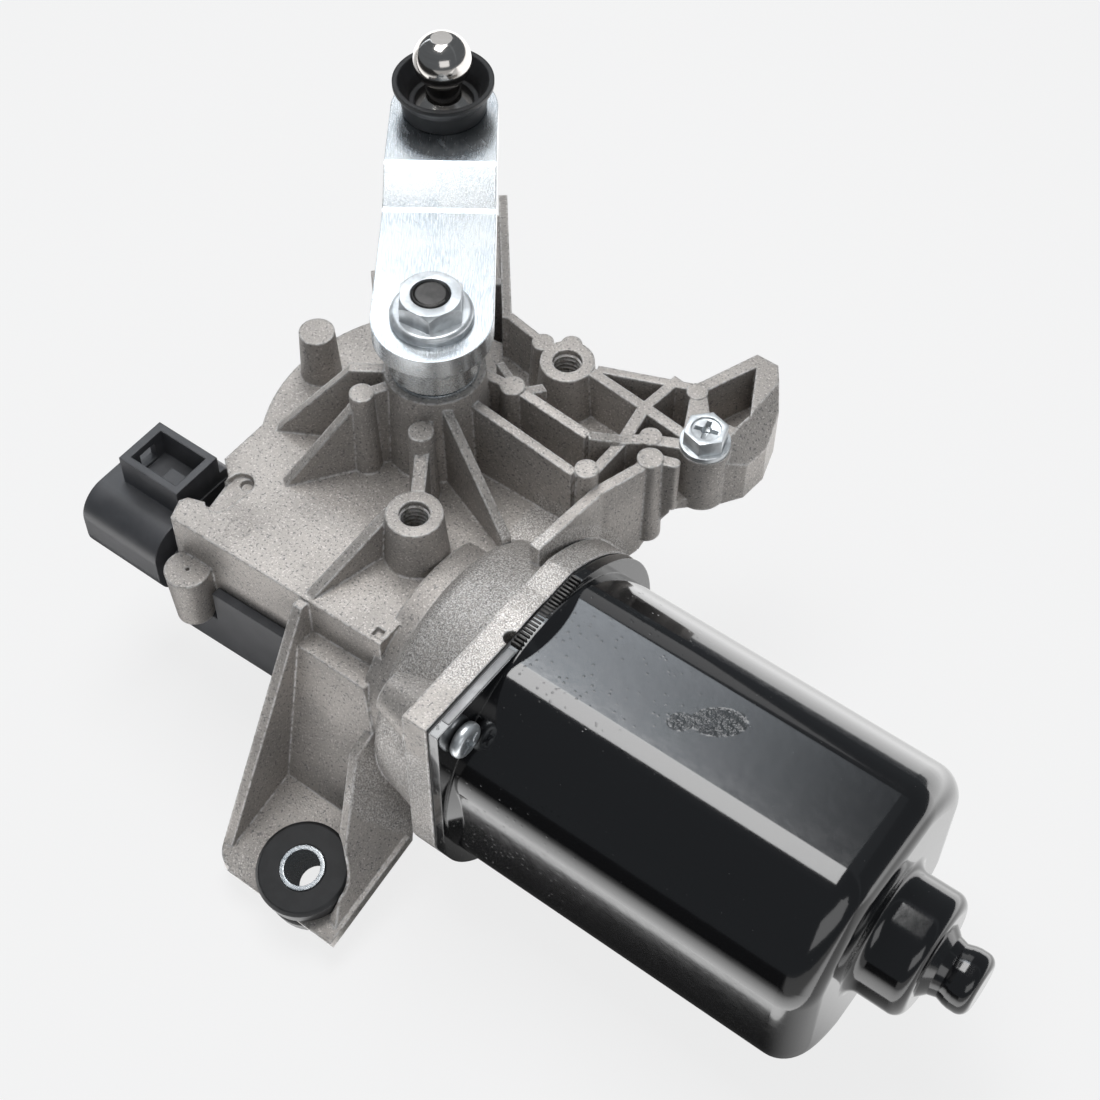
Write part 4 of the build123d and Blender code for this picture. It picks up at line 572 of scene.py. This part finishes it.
@dataclass
class Modeller:
    """Makes mesh pieces with Blender's own modelling operators. Lengths are millimetres."""

    ridge_share: float = 0.42
    turn_steps: int = 24

    def start(self) -> None:
        """Leave edit mode and clear the selection."""
        if bpy.context.object is not None and bpy.context.object.mode != "OBJECT":
            bpy.ops.object.mode_set(mode="OBJECT")
        bpy.ops.object.select_all(action="DESELECT")

    def cylinder(self, name: str, radius: float, low: float, high: float, sides: int = 48) -> Any:
        """A vertical cylinder between two heights, in millimetres.

        Args:
            name: name of the piece.
            radius: its radius.
            low: its lowest height.
            high: its highest height.
            sides: number of sides.

        Returns:
            The piece.
        """
        self.start()
        middle = (0.0, 0.0, (low + high) / 2 * MM)
        bpy.ops.mesh.primitive_cylinder_add(vertices=sides, radius=radius * MM, depth=(high - low) * MM,
                                            location=middle)
        return self._named(name)

    def cube(self, name: str, size: Sequence[float], centre: Sequence[float]) -> Any:
        """A box of a size about a centre, in millimetres.

        Args:
            name: name of the piece.
            size: its three sides.
            centre: its centre.

        Returns:
            The piece.
        """
        self.start()
        bpy.ops.mesh.primitive_cube_add(size=1.0, location=tuple(c * MM for c in centre))
        bpy.context.object.scale = tuple(s * MM for s in size)
        return self._named(name)

    def _named(self, name: str) -> Any:
        """Name the newest object and bake its place into its mesh.

        Args:
            name: name of the piece.

        Returns:
            The piece.
        """
        part = bpy.context.object
        part.name = name
        bpy.ops.object.transform_apply(location=True, rotation=True, scale=True)
        return part

    def modify(self, part: Any, kind: str, **settings: Any) -> Any:
        """Add a modifier and apply it.

        Args:
            part: the piece.
            kind: Blender's name for the modifier.
            settings: the modifier's properties.

        Returns:
            The piece.
        """
        self.start()
        part.select_set(True)
        bpy.context.view_layer.objects.active = part
        modifier = part.modifiers.new(kind.lower(), kind)
        for name, value in settings.items():
            setattr(modifier, name, value)
        bpy.ops.object.modifier_apply(modifier=modifier.name)
        return part

    def bevel(self, part: Any, width: float, segments: int, angle: float) -> Any:
        """Bevel the edges that are sharper than an angle in degrees."""
        return self.modify(part, "BEVEL", width=width * MM, segments=segments, limit_method="ANGLE",
                           angle_limit=math.radians(angle))

    def unite(self, part: Any, other: Any) -> Any:
        """Add another piece to the first one and remove it.

        Args:
            part: the piece that grows.
            other: the piece that is added.

        Returns:
            The first piece.
        """
        self.modify(part, "BOOLEAN", operation="UNION", object=other, solver="EXACT")
        self.discard(other)
        return part

    def soften(self, part: Any, width: float, angle: float = 35.0) -> Any:
        """Round the sharp edges and shade smoothly.

        Args:
            part: the piece.
            width: width of the bevel.
            angle: smallest angle that is rounded, in degrees.

        Returns:
            The piece.
        """
        self.bevel(part, width, 3, angle)
        self.start()
        part.select_set(True)
        bpy.context.view_layer.objects.active = part
        bpy.ops.object.shade_smooth_by_angle(angle=math.radians(angle))
        return part

    def cut(self, part: Any, cutter: Any) -> Any:
        """Subtract a cutter and remove it.

        Args:
            part: the piece.
            cutter: what is taken away.

        Returns:
            The piece.
        """
        self.modify(part, "BOOLEAN", operation="DIFFERENCE", object=cutter, solver="EXACT")
        self.discard(cutter)
        return part

    def discard(self, part: Any) -> None:
        """Remove a helper piece.

        Args:
            part: the piece that isn't needed any more.
        """
        self.start()
        part.select_set(True)
        bpy.ops.object.delete()

    def join(self, parts: Sequence[Any]) -> Any:
        """Join pieces into the first one.

        Args:
            parts: the pieces, of which the first keeps its name.

        Returns:
            The joined piece.
        """
        self.start()
        for part in parts:
            part.select_set(True)
        bpy.context.view_layer.objects.active = parts[0]
        bpy.ops.object.join()
        return parts[0]

    def place(self, part: Any, matrix: Matrix) -> Any:
        """Carry a piece to its place, with its object left at the origin.

        Args:
            part: the piece.
            matrix: the move from the origin.

        Returns:
            The piece.
        """
        self.start()
        part.select_set(True)
        bpy.context.view_layer.objects.active = part
        part.matrix_world = matrix
        bpy.ops.object.transform_apply(location=True, rotation=True, scale=True)
        return part

    def helix(self, name: str, radius: float, ridge: float, pitch: float, low: float, high: float) -> Any:
        """A thread ridge round a vertical axis; a negative ridge points inwards.

        Args:
            name: name of the piece.
            radius: radius of the ridge's foot.
            ridge: its height.
            pitch: rise per turn.
            low: lowest height.
            high: highest height.

        Returns:
            The piece.
        """
        self.start()
        half = pitch * self.ridge_share
        bpy.ops.mesh.primitive_circle_add(vertices=3, radius=1.0, fill_type="NGON")
        part = bpy.context.object
        part.name = name
        corners = ((radius, -half), (radius + ridge, 0.0), (radius, half))
        for vertex, (out, up) in zip(part.data.vertices, corners):
            vertex.co = Vector((out * MM, 0.0, (low + half + up) * MM))
        turns = max(1.0, (high - low - 2 * half) / pitch)
        self.modify(part, "SCREW", angle=2 * math.pi * turns, screw_offset=turns * pitch * MM,
                    steps=int(self.turn_steps * turns), axis="Z")
        return part

    def finish(self, part: Any, body: Body, material: Any, slot: str, replaces: Iterable[str] = ()) -> Any:
        """Give a piece its material and its body.

        Args:
            part: the piece.
            body: the body that carries it.
            material: its material.
            slot: the record's material slot that it takes; not used.
            replaces: the CAD nodes that it stands for.

        Returns:
            The piece.
        """
        part.data.materials.clear()
        part.data.materials.append(material)
        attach(part, body.value)
        if replaces:
            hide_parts(*replaces)
        LOG.info("piece %s rides %s", part.name, body.value)
        return part


@dataclass
class Screws:
    """The can's two screws, the crank nut and the earth screw, in place of the plain CAD ones."""

    tools: Modeller
    finishes: Finishes
    can_seat: float = 53.0
    can_head: tuple[float, float] = (4.1, 2.7)
    can_shank: tuple[float, float] = (1.65, 9.3)
    can_across: float = 28.4
    can_up: float = 26.2
    can_turn: float = 0.5
    nut_seat: float = 27.3
    nut_corner: float = 7.5
    nut_heights: tuple[float, float] = (0.8, 6.8)
    nut_flange: tuple[float, float, float] = (8.95, 1.1, 2.3)
    nut_bore: float = 4.3
    nut_turn: float = -24.0
    earth_spot: tuple[float, float] = (53.9, 25.7)
    earth_flange: tuple[float, float] = (5.6, 1.3)
    earth_hexagon: tuple[float, float] = (5.0, 5.2)
    earth_dish: tuple[float, float] = (3.3, 4.7)
    earth_shank: tuple[float, float] = (1.75, 12.0)
    earth_turn: float = 0.3

    def cross(self, arm: float, depth: float, top: float) -> Any:
        """A cross that cuts a driver recess.

        Args:
            arm: length of each arm from the centre.
            depth: depth of the recess.
            top: height of the face that it is cut into.

        Returns:
            The cutter.
        """
        wide = arm * 0.42
        first = self.tools.cube("cross_a", (2 * arm, wide, 2 * depth), (0, 0, top))
        second = self.tools.cube("cross_b", (wide, 2 * arm, 2 * depth), (0, 0, top))
        core = self.tools.cylinder("cross_c", arm * 0.46, top - depth * 1.2, top + depth, 16)
        for other in (second, core):
            self.tools.unite(first, other)
        return first

    def pan(self, name: str) -> Any:
        """A pan-head screw standing on its seat at height zero.

        Args:
            name: name of the piece.

        Returns:
            The screw.
        """
        radius, height = self.can_head
        shank, length = self.can_shank
        head = self.tools.cylinder(name, radius, 0.0, height)
        self.tools.bevel(head, height * 0.42, 6, 60.0)
        head = self.tools.cut(head, self.cross(radius * 0.62, height * 0.55, height))
        head = self.tools.soften(head, 0.06, 40.0)
        stem = self.tools.cylinder("stem", shank - 0.3, -length, 0.05, 24)
        thread = self.tools.helix("stem_thread", shank - 0.32, 0.3, THREAD_PITCH, -length + 0.2, -0.3)
        return self.tools.join([head, stem, thread])

    def build(self) -> None:
        """Model all of them."""
        self.can()
        self.earth()
        self.nut()

    def can(self) -> None:
        """Model the two screws that hold the can, with their heads towards its closed end."""
        facing = Matrix.Rotation(math.radians(90), 4, "Y") @ Matrix.Rotation(self.can_turn, 4, "Z")
        heads = []
        for index, side in enumerate((-1, 1)):
            screw = self.pan("can_screw_%d" % index)
            spot = (self.can_seat, MOTOR_Y + side * self.can_across, MOTOR_Z - side * self.can_up)
            heads.append(self.tools.place(screw, moved(*spot) @ facing))
        joined = self.tools.join(heads)
        plated = self.finishes.plain["plated"]
        self.tools.finish(joined, Body.HOUSING, plated, "zinc_steel", ["can_screws"])

    def nut(self) -> None:
        """Model the flanged hexagon nut on the output shaft, with its inner thread."""
        seat = self.nut_seat
        low, high = (seat + level for level in self.nut_heights)
        nut = self.tools.cylinder("crank_nut_body", self.nut_corner, low, high, 6)
        crown = self.tools.cylinder("nut_crown", self.nut_corner, low, high, 96)
        self.tools.bevel(crown, 1.0, 1, 60.0)
        self.tools.modify(nut, "BOOLEAN", operation="INTERSECT", object=crown, solver="EXACT")
        self.tools.discard(crown)
        radius, edge, thick = self.nut_flange
        flange = self.tools.cylinder("nut_flange", radius, seat, seat + thick, 96)
        self.tools.bevel(flange, edge, 6, 60.0)
        self.tools.unite(flange, self.tools.cylinder("nut_base", radius, seat, seat + edge, 96))
        self.tools.unite(nut, flange)
        nut = self.tools.cut(nut, self.tools.cylinder("nut_bore", self.nut_bore, seat - 1.0, seat + 8.0, 64))
        nut = self.tools.soften(nut, 0.16, 28.0)
        thread = self.tools.helix("nut_thread", self.nut_bore + 0.02, -0.24, THREAD_PITCH,
                                  seat + 0.5, seat + 6.4)
        nut = self.tools.join([nut, thread])
        self.tools.place(nut, moved(0, 0, 0) @ Matrix.Rotation(math.radians(self.nut_turn), 4, "Z"))
        self.tools.finish(nut, Body.OUTPUT, self.finishes.plain["plated"], "zinc_steel", ["crank_nut"])

    def earth(self) -> None:
        """Model the hexagon-head screw in the outer lug."""
        radius, flange_top = self.earth_flange
        corner, head_top = self.earth_hexagon
        dish, dish_low = self.earth_dish
        shank, length = self.earth_shank
        head = self.tools.cylinder("earth_screw_head", radius, 0.0, flange_top, 64)
        self.tools.unite(head, self.tools.cylinder("earth_hexagon", corner, 0.4, head_top, 6))
        head = self.tools.cut(head, self.tools.cylinder("earth_dish", dish, dish_low, dish_low + 1.3, 32))
        head = self.tools.cut(head, self.cross(2.6, 1.9, dish_low))
        head = self.tools.soften(head, 0.22, 35.0)
        stem = self.tools.cylinder("earth_stem", shank, -length, 0.05, 24)
        thread = self.tools.helix("earth_thread", shank - 0.03, 0.3, 0.8, 0.2 - length, -0.2)
        screw = self.tools.join([head, stem, thread])
        turn = Matrix.Rotation(self.earth_turn, 4, "Z")
        self.tools.place(screw, moved(*self.earth_spot, 0.0) @ turn)
        self.tools.finish(screw, Body.HOUSING, self.finishes.plain["plated"], "zinc_steel", ["earth_screw"])


@dataclass
class Threads:
    """Thread ridges on the output shaft's end and in the threaded bosses."""

    tools: Modeller
    finishes: Finishes
    shaft_foot: float = 3.72
    shaft_ridge: float = 0.33
    shaft_heights: tuple[float, float] = (32.4, 34.1)
    boss_bore: float = 3.37
    boss_ridge: float = 0.35
    boss_heights: tuple[float, float] = (-11.5, -0.8)
    boss_reach: float = frame["record"]["mounts"][0]["dims"]["spacing_y_mm"] / 2

    def build(self) -> None:
        """Model the three threads."""
        shaft = self.tools.helix("shaft_thread", self.shaft_foot, self.shaft_ridge, THREAD_PITCH,
                                 *self.shaft_heights)
        self.tools.place(shaft, moved(0, 0, 0))
        self.tools.finish(shaft, Body.OUTPUT, self.finishes.plain["dark"], "zinc_steel")
        for name, side in (("near_boss_thread", -1), ("far_boss_thread", 1)):
            ridge = self.tools.helix(name, self.boss_bore, -self.boss_ridge, THREAD_PITCH, *self.boss_heights)
            self.tools.place(ridge, Matrix.Translation(Vector((0.0, side * self.boss_reach * MM, 0.0))))
            self.tools.finish(ridge, Body.HOUSING, self.finishes.cast, "cast_aluminium")


@dataclass
class JointStrip:
    """Row of crimp teeth along the top of the can's flange, and beside it a light grey strip that is a
    painted reflection of the sky on the flange's glossy top.
    """

    tools: Modeller
    finishes: Finishes
    top: float = MOTOR_Z + 33.8
    tooth: tuple[float, float, float] = (2.5, 0.60, 1.5)
    count: int = 22
    first: float = -39.2
    pitch: float = 0.98
    teeth_x: float = 51.8
    # The next two give the size and place of a light grey strip that is a painted reflection on the flange's
    # top.
    edge: tuple[float, float, float] = (1.9, 21.8, 0.3)
    reflection_strip_spot: tuple[float, float] = (51.9, -51.5)

    def build(self) -> None:
        """Model the strip of teeth and the strip of painted reflection."""
        start = from_shaft(self.teeth_x, self.first, self.top + 0.1)
        teeth = self.tools.cube("crimp_teeth", self.tooth, start)
        self.tools.modify(teeth, "ARRAY", count=self.count, use_relative_offset=False,
                          use_constant_offset=True, constant_offset_displace=(0.0, self.pitch * MM, 0.0))
        self.tools.soften(teeth, 0.22)
        self.tools.finish(teeth, Body.HOUSING, self.finishes.plain["dark"], "black_paint")
        # A light grey strip on the flange's top: a painted reflection of the sky in the glossy paint.
        edge = self.tools.cube("flange_reflection_strip", self.edge, from_shaft(*self.reflection_strip_spot, self.top))
        self.tools.soften(edge, 0.12)
        self.tools.finish(edge, Body.HOUSING, self.finishes.plain["reflection_grey"], "zinc_steel")


@dataclass(frozen=True)
class Lamp:
    """A rectangular soft lamp: place, target and size in metres, power in watts."""

    name: str
    spot: tuple[float, float, float]
    target: tuple[float, float, float]
    wide: float
    high: float
    power: float

    def build(self) -> None:
        """Add the lamp, facing its target."""
        data = bpy.data.lights.new(self.name, "AREA")
        data.shape = "RECTANGLE"
        data.size = self.wide
        data.size_y = self.high
        data.energy = self.power
        lamp = bpy.data.objects.new(self.name, data)
        lamp.location = self.spot
        facing = Vector(self.target) - Vector(self.spot)
        lamp.rotation_euler = facing.to_track_quat("-Z", "Y").to_euler()
        bpy.context.scene.collection.objects.link(lamp)


@dataclass
class Studio:
    """Floor, lamps, world and camera. Lengths are metres."""

    focal: float = 2006.97
    image: float = 1100.0
    sensor: float = 36.0
    camera_spot: tuple[float, float, float] = (0.1770, -0.2204, 0.3341)
    camera_look: tuple[float, float, float] = (-0.355, 0.485, -0.799)
    camera_roll: float = 0.66
    floor_gap: float = 0.0005
    floor_colour: Colour = (0.66, 0.66, 0.67)
    floor_white: float = 0.80
    sky_colour: Colour = (0.86, 0.93, 1.0)
    sky: float = 0.23
    lamps: tuple[Lamp, ...] = (
        Lamp("key", (-0.09, 0.053, 0.56), (0.0, 0.053, -0.02), 0.385, 0.27, 2.2),
        Lamp("back", (-0.30, 0.46, 0.46), (0.0, 0.0, 0.0), 0.50, 0.34, 0.41),
        Lamp("fill", (0.46, -0.40, 0.34), (0.03, -0.02, -0.02), 0.50, 0.30, 0.62),
    )

    def build(self) -> None:
        """Set up the whole studio."""
        self.camera()
        self.floor()
        self.world()
        for lamp in self.lamps:
            lamp.build()
        bpy.context.scene.view_settings.view_transform = "Standard"

    def camera(self) -> None:
        """Place the camera at the photograph's angle."""
        look = Vector(self.camera_look).normalized()
        right = look.cross(Vector((0.0, 0.0, 1.0))).normalized()
        up = right.cross(look)
        roll = math.radians(self.camera_roll)
        side = math.cos(roll) * right + math.sin(roll) * up
        top = side.cross(look)
        data = bpy.data.cameras.new("camera")
        data.sensor_width = self.sensor
        data.lens = self.focal / self.image * self.sensor
        data.clip_start = 0.01
        camera = bpy.data.objects.new("camera", data)
        bpy.context.scene.collection.objects.link(camera)
        turn = Matrix((side, top, -look)).transposed().to_4x4()
        camera.matrix_world = Matrix.Translation(Vector(self.camera_spot)) @ turn
        bpy.context.scene.camera = camera

    def floor(self) -> None:
        """A plain pale floor just below the lowest piece."""
        low = FRAME_BOX[0][2] - self.floor_gap
        bpy.ops.mesh.primitive_plane_add(size=6.0, location=(0.0, 0.0, low))
        plane = bpy.context.object
        plane.name = "floor"
        plane.data.materials.append(self.floor_material())

    def floor_material(self) -> Any:
        """White to the camera, grey as a source of bounced light, and a set of cards to polished pieces.

        Returns:
            The material.
        """
        material = bpy.data.materials.new("floor")
        material.use_nodes = True
        tree = material.node_tree
        tree.nodes.clear()
        path = tree.nodes.new("ShaderNodeLightPath")
        diffuse = tree.nodes.new("ShaderNodeBsdfDiffuse")
        diffuse.inputs["Color"].default_value = (*self.floor_colour, 1.0)
        white = self.emission(tree, 1.0)
        seen = Socket(tree, path.outputs["Is Camera Ray"]) * self.floor_white
        shown = self.blend(tree, seen, Socket(tree, diffuse.outputs[0]), white)
        card = self.emission(tree, self.card_light(tree))
        mirrored = self.blend(tree, Socket(tree, path.outputs["Is Glossy Ray"]), shown, card)
        output = tree.nodes.new("ShaderNodeOutputMaterial")
        tree.links.new(mirrored.output, output.inputs[0])
        return material

    def emission(self, tree: Any, strength: Any) -> Socket:
        """A white glow of a strength, a number or a Socket.

        Args:
            tree: the node tree.
            strength: how bright it is.

        Returns:
            The shader.
        """
        glow = tree.nodes.new("ShaderNodeEmission")
        glow.inputs["Color"].default_value = (1.0, 1.0, 1.0, 1.0)
        if isinstance(strength, Socket):
            tree.links.new(strength.output, glow.inputs["Strength"])
        else:
            glow.inputs["Strength"].default_value = strength
        return Socket(tree, glow.outputs[0])

    def blend(self, tree: Any, factor: Socket, first: Socket, second: Socket) -> Socket:
        """Mix two shaders by a factor.

        Args:
            tree: the node tree.
            factor: share of the second one.
            first: a shader.
            second: a shader.

        Returns:
            The mixed shader.
        """
        node = tree.nodes.new("ShaderNodeMixShader")
        for index, socket in enumerate((factor, first, second)):
            tree.links.new(socket.output, node.inputs[index])
        return Socket(tree, node.outputs[0])

    def axes(self, tree: Any, coordinates: str) -> tuple[Socket, Socket, Socket]:
        """The three parts of a kind of texture coordinate.

        Args:
            tree: the node tree.
            coordinates: Blender's name for their kind.

        Returns:
            The parts along X, Y and Z.
        """
        place = tree.nodes.new("ShaderNodeTexCoord")
        parts = tree.nodes.new("ShaderNodeSeparateXYZ")
        tree.links.new(place.outputs[coordinates], parts.inputs[0])
        return tuple(Socket(tree, parts.outputs[i]) for i in range(3))

    def card_light(self, tree: Any) -> Socket:
        """What polished pieces see of the floor: a bright sweep behind, a card at the right and one in front.

        Args:
            tree: the floor's node tree.

        Returns:
            The strength of the glow.
        """
        x, y, _ = self.axes(tree, "Object")
        behind = self.ramp(y, -0.06, -0.02)
        right = self.ramp(x, 0.11, 0.15)
        front = self.ramp(y, -0.0845, -0.0855) * self.ramp(y, -0.25, -0.11)
        sweep = behind * (self.ramp(y, 0.05, 0.15) * 1.5 + 1.0)
        return sweep.most(right * 0.68).most(front * 2.6) * 0.85 + 0.04

    def ramp(self, value: Socket, start: float, end: float) -> Socket:
        """A smooth step from zero at the start to one at the end.

        Args:
            value: what is mapped.
            start: where it gives zero.
            end: where it gives one.

        Returns:
            The step.
        """
        node = value.tree.nodes.new("ShaderNodeMapRange")
        node.interpolation_type = "SMOOTHSTEP"
        value.tree.links.new(value.output, node.inputs["Value"])
        node.inputs["From Min"].default_value = start
        node.inputs["From Max"].default_value = end
        return Socket(value.tree, node.outputs[0])

    def sky_light(self, tree: Any) -> Socket:
        """What polished pieces see of the sky: a soft veil behind, with a streak along its edge.

        Args:
            tree: the world's node tree.

        Returns:
            What is added to the sky's strength.
        """
        x, y, z = self.axes(tree, "Generated")
        height = z.most(0.05)
        back = y / height
        fade = self.ramp(x / height, -0.14, -0.44)
        veil = self.ramp(back, 0.40, 0.50) * self.ramp(back, 0.615, 0.60)
        streak = self.ramp(back, 0.57, 0.595) * fade
        return veil * (streak * 1.6 + fade * 3.7 + 0.09) - 0.04

    def world(self) -> None:
        """A soft grey world that is white to the camera."""
        world = bpy.data.worlds.new("studio")
        world.use_nodes = True
        tree = world.node_tree
        tree.nodes.clear()
        path = tree.nodes.new("ShaderNodeLightPath")
        soft = tree.nodes.new("ShaderNodeBackground")
        soft.inputs["Color"].default_value = (*self.sky_colour, 1.0)
        strength = Socket(tree, path.outputs["Is Glossy Ray"]) * self.sky_light(tree) + self.sky
        tree.links.new(strength.output, soft.inputs["Strength"])
        white = tree.nodes.new("ShaderNodeBackground")
        seen = Socket(tree, path.outputs["Is Camera Ray"])
        blend = self.blend(tree, seen, Socket(tree, soft.outputs[0]), Socket(tree, white.outputs[0]))
        output = tree.nodes.new("ShaderNodeOutputWorld")
        tree.links.new(blend.output, output.inputs[0])
        bpy.context.scene.world = world


@dataclass
class Motor:
    """The whole dressed motor."""

    tools: Modeller = field(default_factory=Modeller)
    finishes: Finishes = field(default_factory=Finishes)

    def materials(self) -> dict[str, Any]:
        """The material of each of the record's slots."""
        finishes, plain = self.finishes, self.finishes.plain
        return {
            "cast_aluminium": finishes.cast,
            "zinc_steel": finishes.zinc,
            "bright_steel": finishes.ball,
            "bearing_steel": plain["steel"],
            "core_steel": finishes.core,
            "black_paint": finishes.paint,
            "black_plastic": finishes.plastic,
            "natural_plastic": plain["natural"],
            "black_rubber": plain["rubber"],
            "bronze": plain["bronze"],
            "tinned_brass": plain["brass"],
            "copper": finishes.copper,
            "ferrite": plain["ferrite"],
            "carbon": plain["carbon"],
        }

    def dress(self) -> None:
        """Give every CAD node the material of its slot, and the arm and the shaft their own."""
        by_slot = self.materials()
        special = {"crank_arm": self.finishes.arm, "output_shaft": self.finishes.plain["dark"]}
        slots = {entry["node"]: entry["material_slot"] for entry in frame["record"]["subparts"]}
        for name, node in frame["nodes"].items():
            node.data.materials.clear()
            node.data.materials.append(special.get(name, by_slot[slots[name]]))

    def build(self) -> None:
        """Dress the CAD nodes and add the modelled pieces."""
        self.dress()
        for group in (Screws, Threads, JointStrip):
            group(self.tools, self.finishes).build()


def main() -> None:
    """Dress the frame and set up the studio."""
    logging.basicConfig(level=logging.INFO)
    Motor().build()
    Studio().build()
    bpy.context.view_layer.update()


if __name__ == "__main__":
    main()
